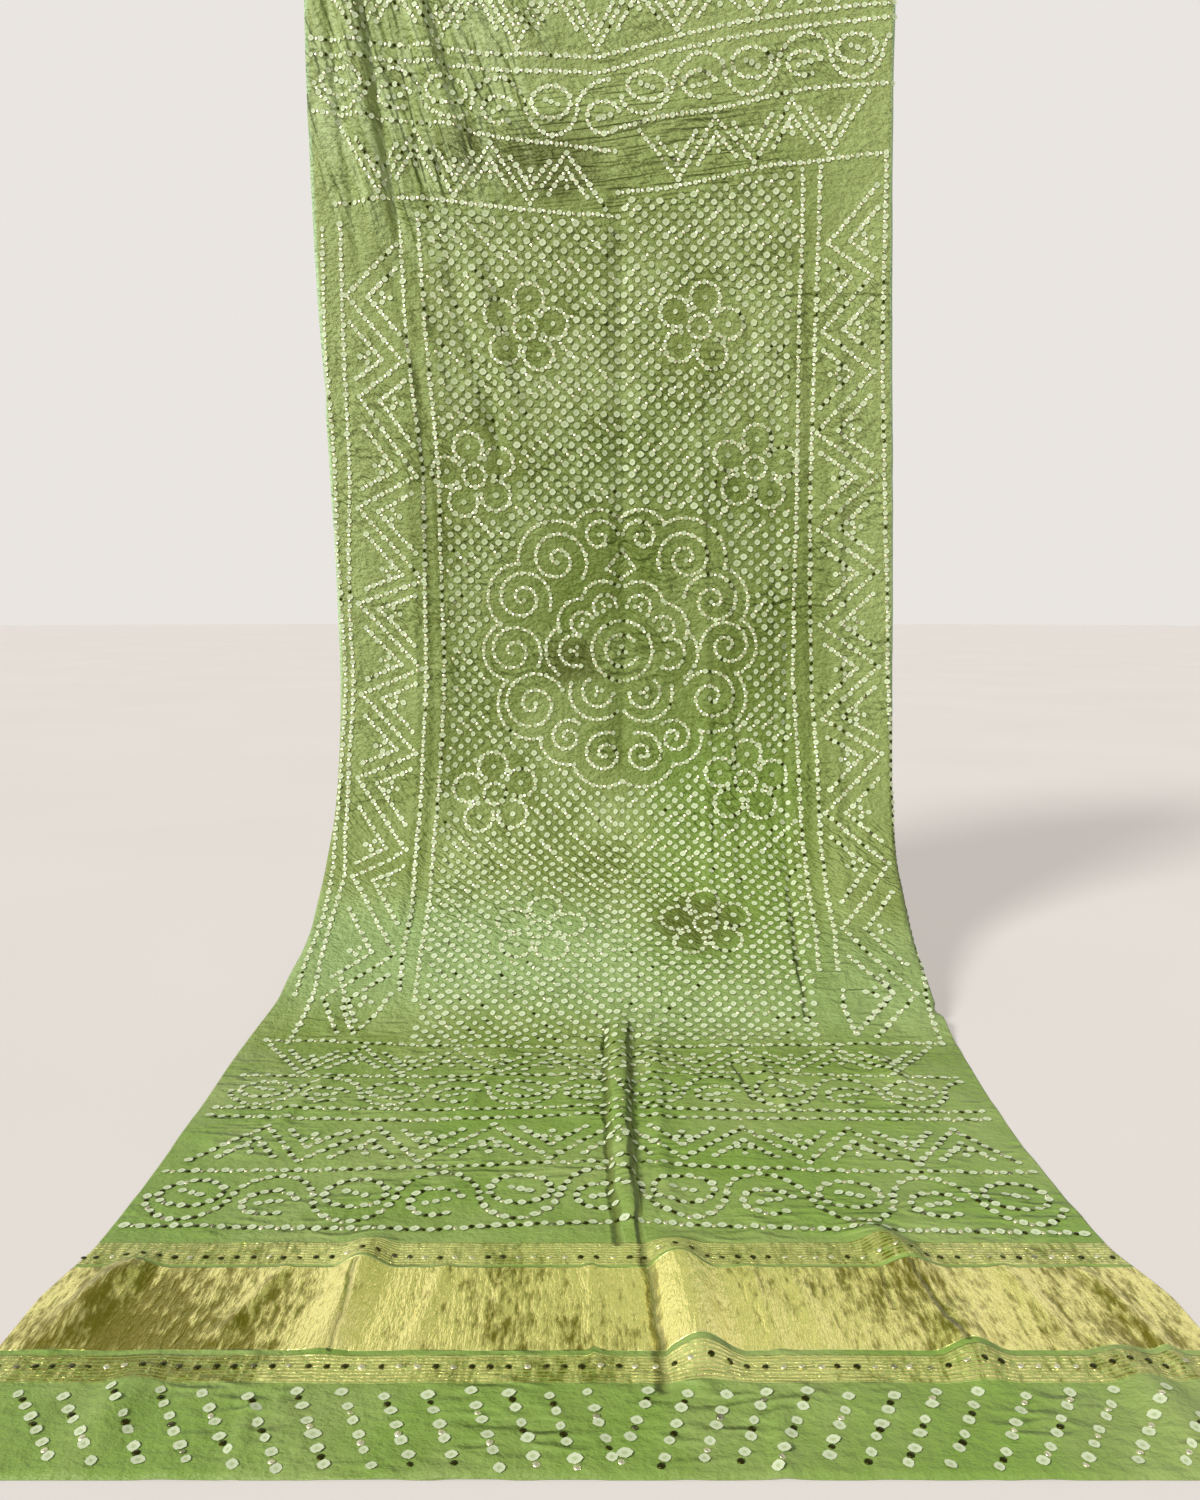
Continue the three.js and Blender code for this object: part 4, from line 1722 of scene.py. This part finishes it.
@dataclass
class Stamped:
    """One small shape, repeated on the sheet at each of its places.

    tilt and stretch are how unevenly the copies lie and are shaped, above is their height off the
    sheet in millimetres, fade how far their undyed part takes on the dye, and relief scales their height.
    """

    name: str
    slot: str
    tilt: float
    above: float
    seed: int
    stretch: float = 0.1
    fade: float = 0.25
    relief: float = 1.0

    def build(
        self, shape: Shape, marks: list[Mark], drape: Drape, ground: BVHTree, material: bpy.types.Material
    ) -> bpy.types.Object:
        """Joins all copies into one mesh.

        Args:
            shape: One copy.
            marks: Places and sizes of the copies.
            drape: Where the cloth lies.
            ground: The sheet that they stand on.
            material: Their finish.

        Returns:
            The joined piece.
        """
        points, faces, values = shape
        self.rng = np.random.default_rng(self.seed)
        marks = np.asarray(marks, float)
        co, uv, facing = self.copies(points, marks, drape, ground)
        mesh = self.join(faces, co, uv)
        attributes = {"tie": np.tile(values, len(marks))}
        for value, each_copy in zip(("worn_and_shaded", "faded"), self.wear_and_shade(marks, facing)):
            attributes[value] = np.repeat(each_copy, len(points))
        for value, numbers in attributes.items():
            mesh.attributes.new(value, "FLOAT", "POINT").data.foreach_set("value", numbers)
        piece = object_from(mesh, self.name, material)
        log.info("%s: %d copies", self.name, len(marks))
        return piece

    def copies(
        self, points: np.ndarray, marks: np.ndarray, drape: Drape, ground: BVHTree
    ) -> tuple[np.ndarray, np.ndarray, np.ndarray]:
        """Lays the copies on the sheet.

        Args:
            points: The points of one copy.
            marks: Places and sizes of the copies.
            drape: Where the cloth lies.
            ground: The sheet that they stand on.

        Returns:
            The points of each copy in metres, their places on the cloth, and how far each copy faces right.
        """
        rng = self.rng
        centres = drape.place(marks[:, 0], marks[:, 1])
        beside = drape.place(marks[:, 0] + 2.0, marks[:, 1])
        co = np.empty((len(marks), len(points), 3))
        uv = np.empty((len(marks), len(points), 2))
        facing = np.zeros(len(marks))
        for number, (across, along, size) in enumerate(marks):
            spot, normal, _, _ = ground.find_nearest(Vector(centres[number]))
            facing[number] = normal.x
            side = (Vector(beside[number]) - Vector(centres[number])).normalized()
            up = (normal + Vector(rng.normal(0, self.tilt, 3))).normalized()
            side = (side - up * side.dot(up)).normalized()
            turned = np.array(Matrix((side, up.cross(side), up)).transposed())
            spin = Matrix.Rotation(rng.normal(0, 0.2), 3, "Z")
            wide = 1 + rng.normal(0, self.stretch)
            scale = Matrix.Diagonal((wide, 1.0, self.relief * rng.uniform(0.8, 1.15)))
            local = points @ np.array(spin @ scale).T * size
            co[number] = local @ turned.T * MM + np.array(spot) + np.array(up) * self.above * MM
            uv[number] = (np.array([across, along]) + local[:, :2] * (1, -1)) * MM
        co[:, :, 2] = np.maximum(co[:, :, 2], LOWEST_DOT * MM - DROP * MM)
        return co, uv, facing

    def join(self, faces: list[tuple[int, ...]], co: np.ndarray, uv: np.ndarray) -> bpy.types.Mesh:
        """Makes the mesh of all copies from the faces of one and the points and places of each.

        Args:
            faces: The faces of one copy, as point numbers.
            co: The points of each copy, in metres.
            uv: Their places on the cloth, in metres.

        Returns:
            The mesh.
        """
        count, each, _ = co.shape
        sides = np.tile([len(face) for face in faces], count)
        corners = np.concatenate([np.array(face) for face in faces])
        loops = (corners[None, :] + np.arange(count)[:, None] * each).ravel()
        mesh = bpy.data.meshes.new(self.name)
        mesh.vertices.add(count * each)
        mesh.vertices.foreach_set("co", co.ravel())
        mesh.loops.add(len(loops))
        mesh.loops.foreach_set("vertex_index", loops)
        mesh.polygons.add(len(sides))
        mesh.polygons.foreach_set("loop_start", np.concatenate([[0], np.cumsum(sides)[:-1]]))
        mesh.polygons.foreach_set("loop_total", sides)
        mesh.update(calc_edges=True)
        mesh.uv_layers.new(name="cloth_metres").data.foreach_set("uv", uv.reshape(-1, 2)[loops].ravel())
        return mesh

    def wear_and_shade(self, marks: np.ndarray, facing: np.ndarray) -> tuple[np.ndarray, np.ndarray]:
        """How dark and how faded each copy is, from 0 to 1; the dark share is partly random tarnish and
        partly painted shade and painted dark reflection, most of it where the cloth lies.

        Args:
            marks: Places and sizes of the copies.
            facing: How far each copy faces right.

        Returns:
            Both shares, one for each copy.
        """
        across, along, _ = marks.T
        lying = np.clip((along - 1500) / 300, 0, 1)
        fresher = np.clip((along - 1100) / 450, 0, 1)
        grouped = np.clip(Unevenness(31, 60, 90).at(across, along), 0, 1)
        right_folds = (across > 255) & (along > 480) & (along < 1500)
        # Painted shade and painted dark reflection: more dark sequins where the cloth lies, in the right-hand
        # folds and on copies that face right, away from the key light; the rest is random tarnish.
        chance = 0.06 + 0.55 * lying + 0.3 * grouped + 0.22 * right_folds + 2.2 * np.clip(facing, 0, 0.3)
        worn_and_shaded = np.clip((self.rng.uniform(0, 1, len(marks)) - 1 + chance) * 5, 0, 1)
        return worn_and_shaded, self.rng.uniform(0.3, 1.0, len(marks)) * self.fade * (1 - 0.75 * fresher)


# The room


@dataclass
class Studio:
    """A pale floor, soft lights and the camera, in metres."""

    floor_height: float = -DROP * MM
    floor_reach: float = 40.0
    floor_tones: tuple[Colour, Colour] = ((0.27, 0.255, 0.245, 1), (0.29, 0.273, 0.262, 1))
    floor_glow: Colour = (0.435, 0.402, 0.372, 1)
    room: Colour = (0.28, 0.28, 0.28, 1)
    backdrop: Colour = (0.82, 0.785, 0.75, 1)
    camera_place: tuple[float, float, float] = (0.0, -1.820, -0.971)
    camera_tilt: float = 7.0
    focal_share: float = 0.77

    def build(self) -> bpy.types.Object:
        """Builds the room.

        Returns:
            The floor.
        """
        self._world()
        key = bpy.data.lights.new("key", "SUN")
        key.energy = 4.6
        key.angle = math.radians(15)
        key.color = (1.0, 0.985, 0.955)
        self._aim("key", key, (0.0, 0.0, 0.0), (0.62, 0.55, -0.56))
        fill = bpy.data.lights.new("fill", "AREA")
        fill.shape = "SQUARE"
        fill.size = 1.6
        fill.energy = 12.0
        self._aim("fill", fill, (2.2, -2.6, 0.2), (0.0, -0.2, -0.9))
        self._camera()
        return self._floor()

    @staticmethod
    def _aim(name: str, light: bpy.types.Light, place: tuple, target: tuple) -> None:
        """Adds a light at a place that shines at a target.

        Args:
            name: Its name.
            light: The light.
            place: Where it stands, in metres.
            target: Where it shines.
        """
        lamp = bpy.data.objects.new(name, light)
        lamp.location = place
        lamp.rotation_euler = (Vector(target) - Vector(place)).to_track_quat("-Z", "Y").to_euler()
        bpy.context.scene.collection.objects.link(lamp)

    def _floor(self) -> bpy.types.Object:
        """Makes the floor, which glows a little so that the shadow on it is faint.

        Returns:
            The floor.
        """
        shape = bmesh.new()
        bmesh.ops.create_circle(shape, cap_ends=True, segments=64, radius=self.floor_reach)
        bmesh.ops.translate(shape, vec=(0, 0, self.floor_height), verts=shape.verts[:])
        mesh = bpy.data.meshes.new("floor")
        shape.to_mesh(mesh)
        shape.free()
        material, writer = new_material("pale_paper")
        tone = writer.remap(writer.noise(writer.wire("TexCoord", output="Object"), 1.2), 0.3, 0.7)
        writer.principled({
            "Base Color": writer.mix(tone, *self.floor_tones),
            "Emission Color": self.floor_glow,
            "Emission Strength": 1.0,
            "Roughness": 0.9,
            "Specular IOR Level": 0.1,
        })
        mesh.materials.append(material)
        floor = bpy.data.objects.new("floor", mesh)
        bpy.context.scene.collection.objects.link(floor)
        return floor

    def _world(self) -> None:
        """Makes the surroundings: a pale backdrop, and a dimmer room that lights the cloth from the front."""
        world = bpy.data.worlds.new("studio_room")
        world.use_nodes = True
        writer = NodeWriter(world.node_tree)
        _, depth, height = writer.split(writer.wire("TexCoord", output="Generated"))
        lit = writer.remap(depth, -0.15, 0.4) * writer.remap(height, 0.5, 0.72, 1.0, 0.0)
        pale = writer.math("MAXIMUM", lit, writer.wire("LightPath", output="Is Camera Ray"))
        background = world.node_tree.nodes["Background"]
        writer.feed(background.inputs[0], writer.mix(pale, self.room, self.backdrop))
        bpy.context.scene.world = world

    def _camera(self) -> None:
        """Adds the camera at the photograph's viewing angle."""
        lens = bpy.data.cameras.new("camera")
        lens.sensor_width = 36.0
        lens.lens = lens.sensor_width * self.focal_share
        lens.clip_end = 200.0
        camera = bpy.data.objects.new("camera", lens)
        camera.location = self.camera_place
        camera.rotation_euler = (math.radians(90 - self.camera_tilt), 0.0, 0.0)
        bpy.context.scene.collection.objects.link(camera)
        bpy.context.scene.camera = camera
        bpy.context.scene.view_settings.view_transform = "Standard"


def main() -> None:
    """Builds the room, then every piece of the cloth in order."""
    logging.basicConfig(level=logging.INFO, format="%(name)s: %(message)s")
    floor = Studio().build()
    silk = DyedSilk()
    dye = silk.group()
    drape = Drape()
    sheet = SilkSheet(drape).build(silk.material(dye, GoldBand()))
    ground = BVHTree.FromPolygons(
        [corner.co[:] for corner in sheet.data.vertices], [face.vertices[:] for face in sheet.data.polygons]
    )
    pattern = tie_pattern()
    dots = TiedDot().material(dye)
    for number, area in enumerate(Area):
        stamped = Stamped(f"tied_dots_{area.value}", "dyed_silk", 0.05, 0.0, 40 + number)
        stamped.fade = 0.55 if area is Area.FIELD else 0.2
        stamped.relief = 0.6 if area is Area.END_STRIP else 1.0
        stamped.build(tie_shape(), pattern.dots[area], drape, ground, dots)
    marks = [mark for area in Area for mark in pattern.dots[area]]
    stamped = Stamped("tied_dots_back", "dyed_silk", 0.0, BACK_OF_DOT, 50, fade=0.45)
    stamped.build(tie_back_shape(), marks, drape, ground, dots)
    stamped = Stamped("sequins", "sequin_metal", 0.14, 0.55, 60, 0.02)
    stamped.build(sequin_shape(), pattern.sequins, drape, ground, SequinMetal().material())


if __name__ == "__main__":
    main()
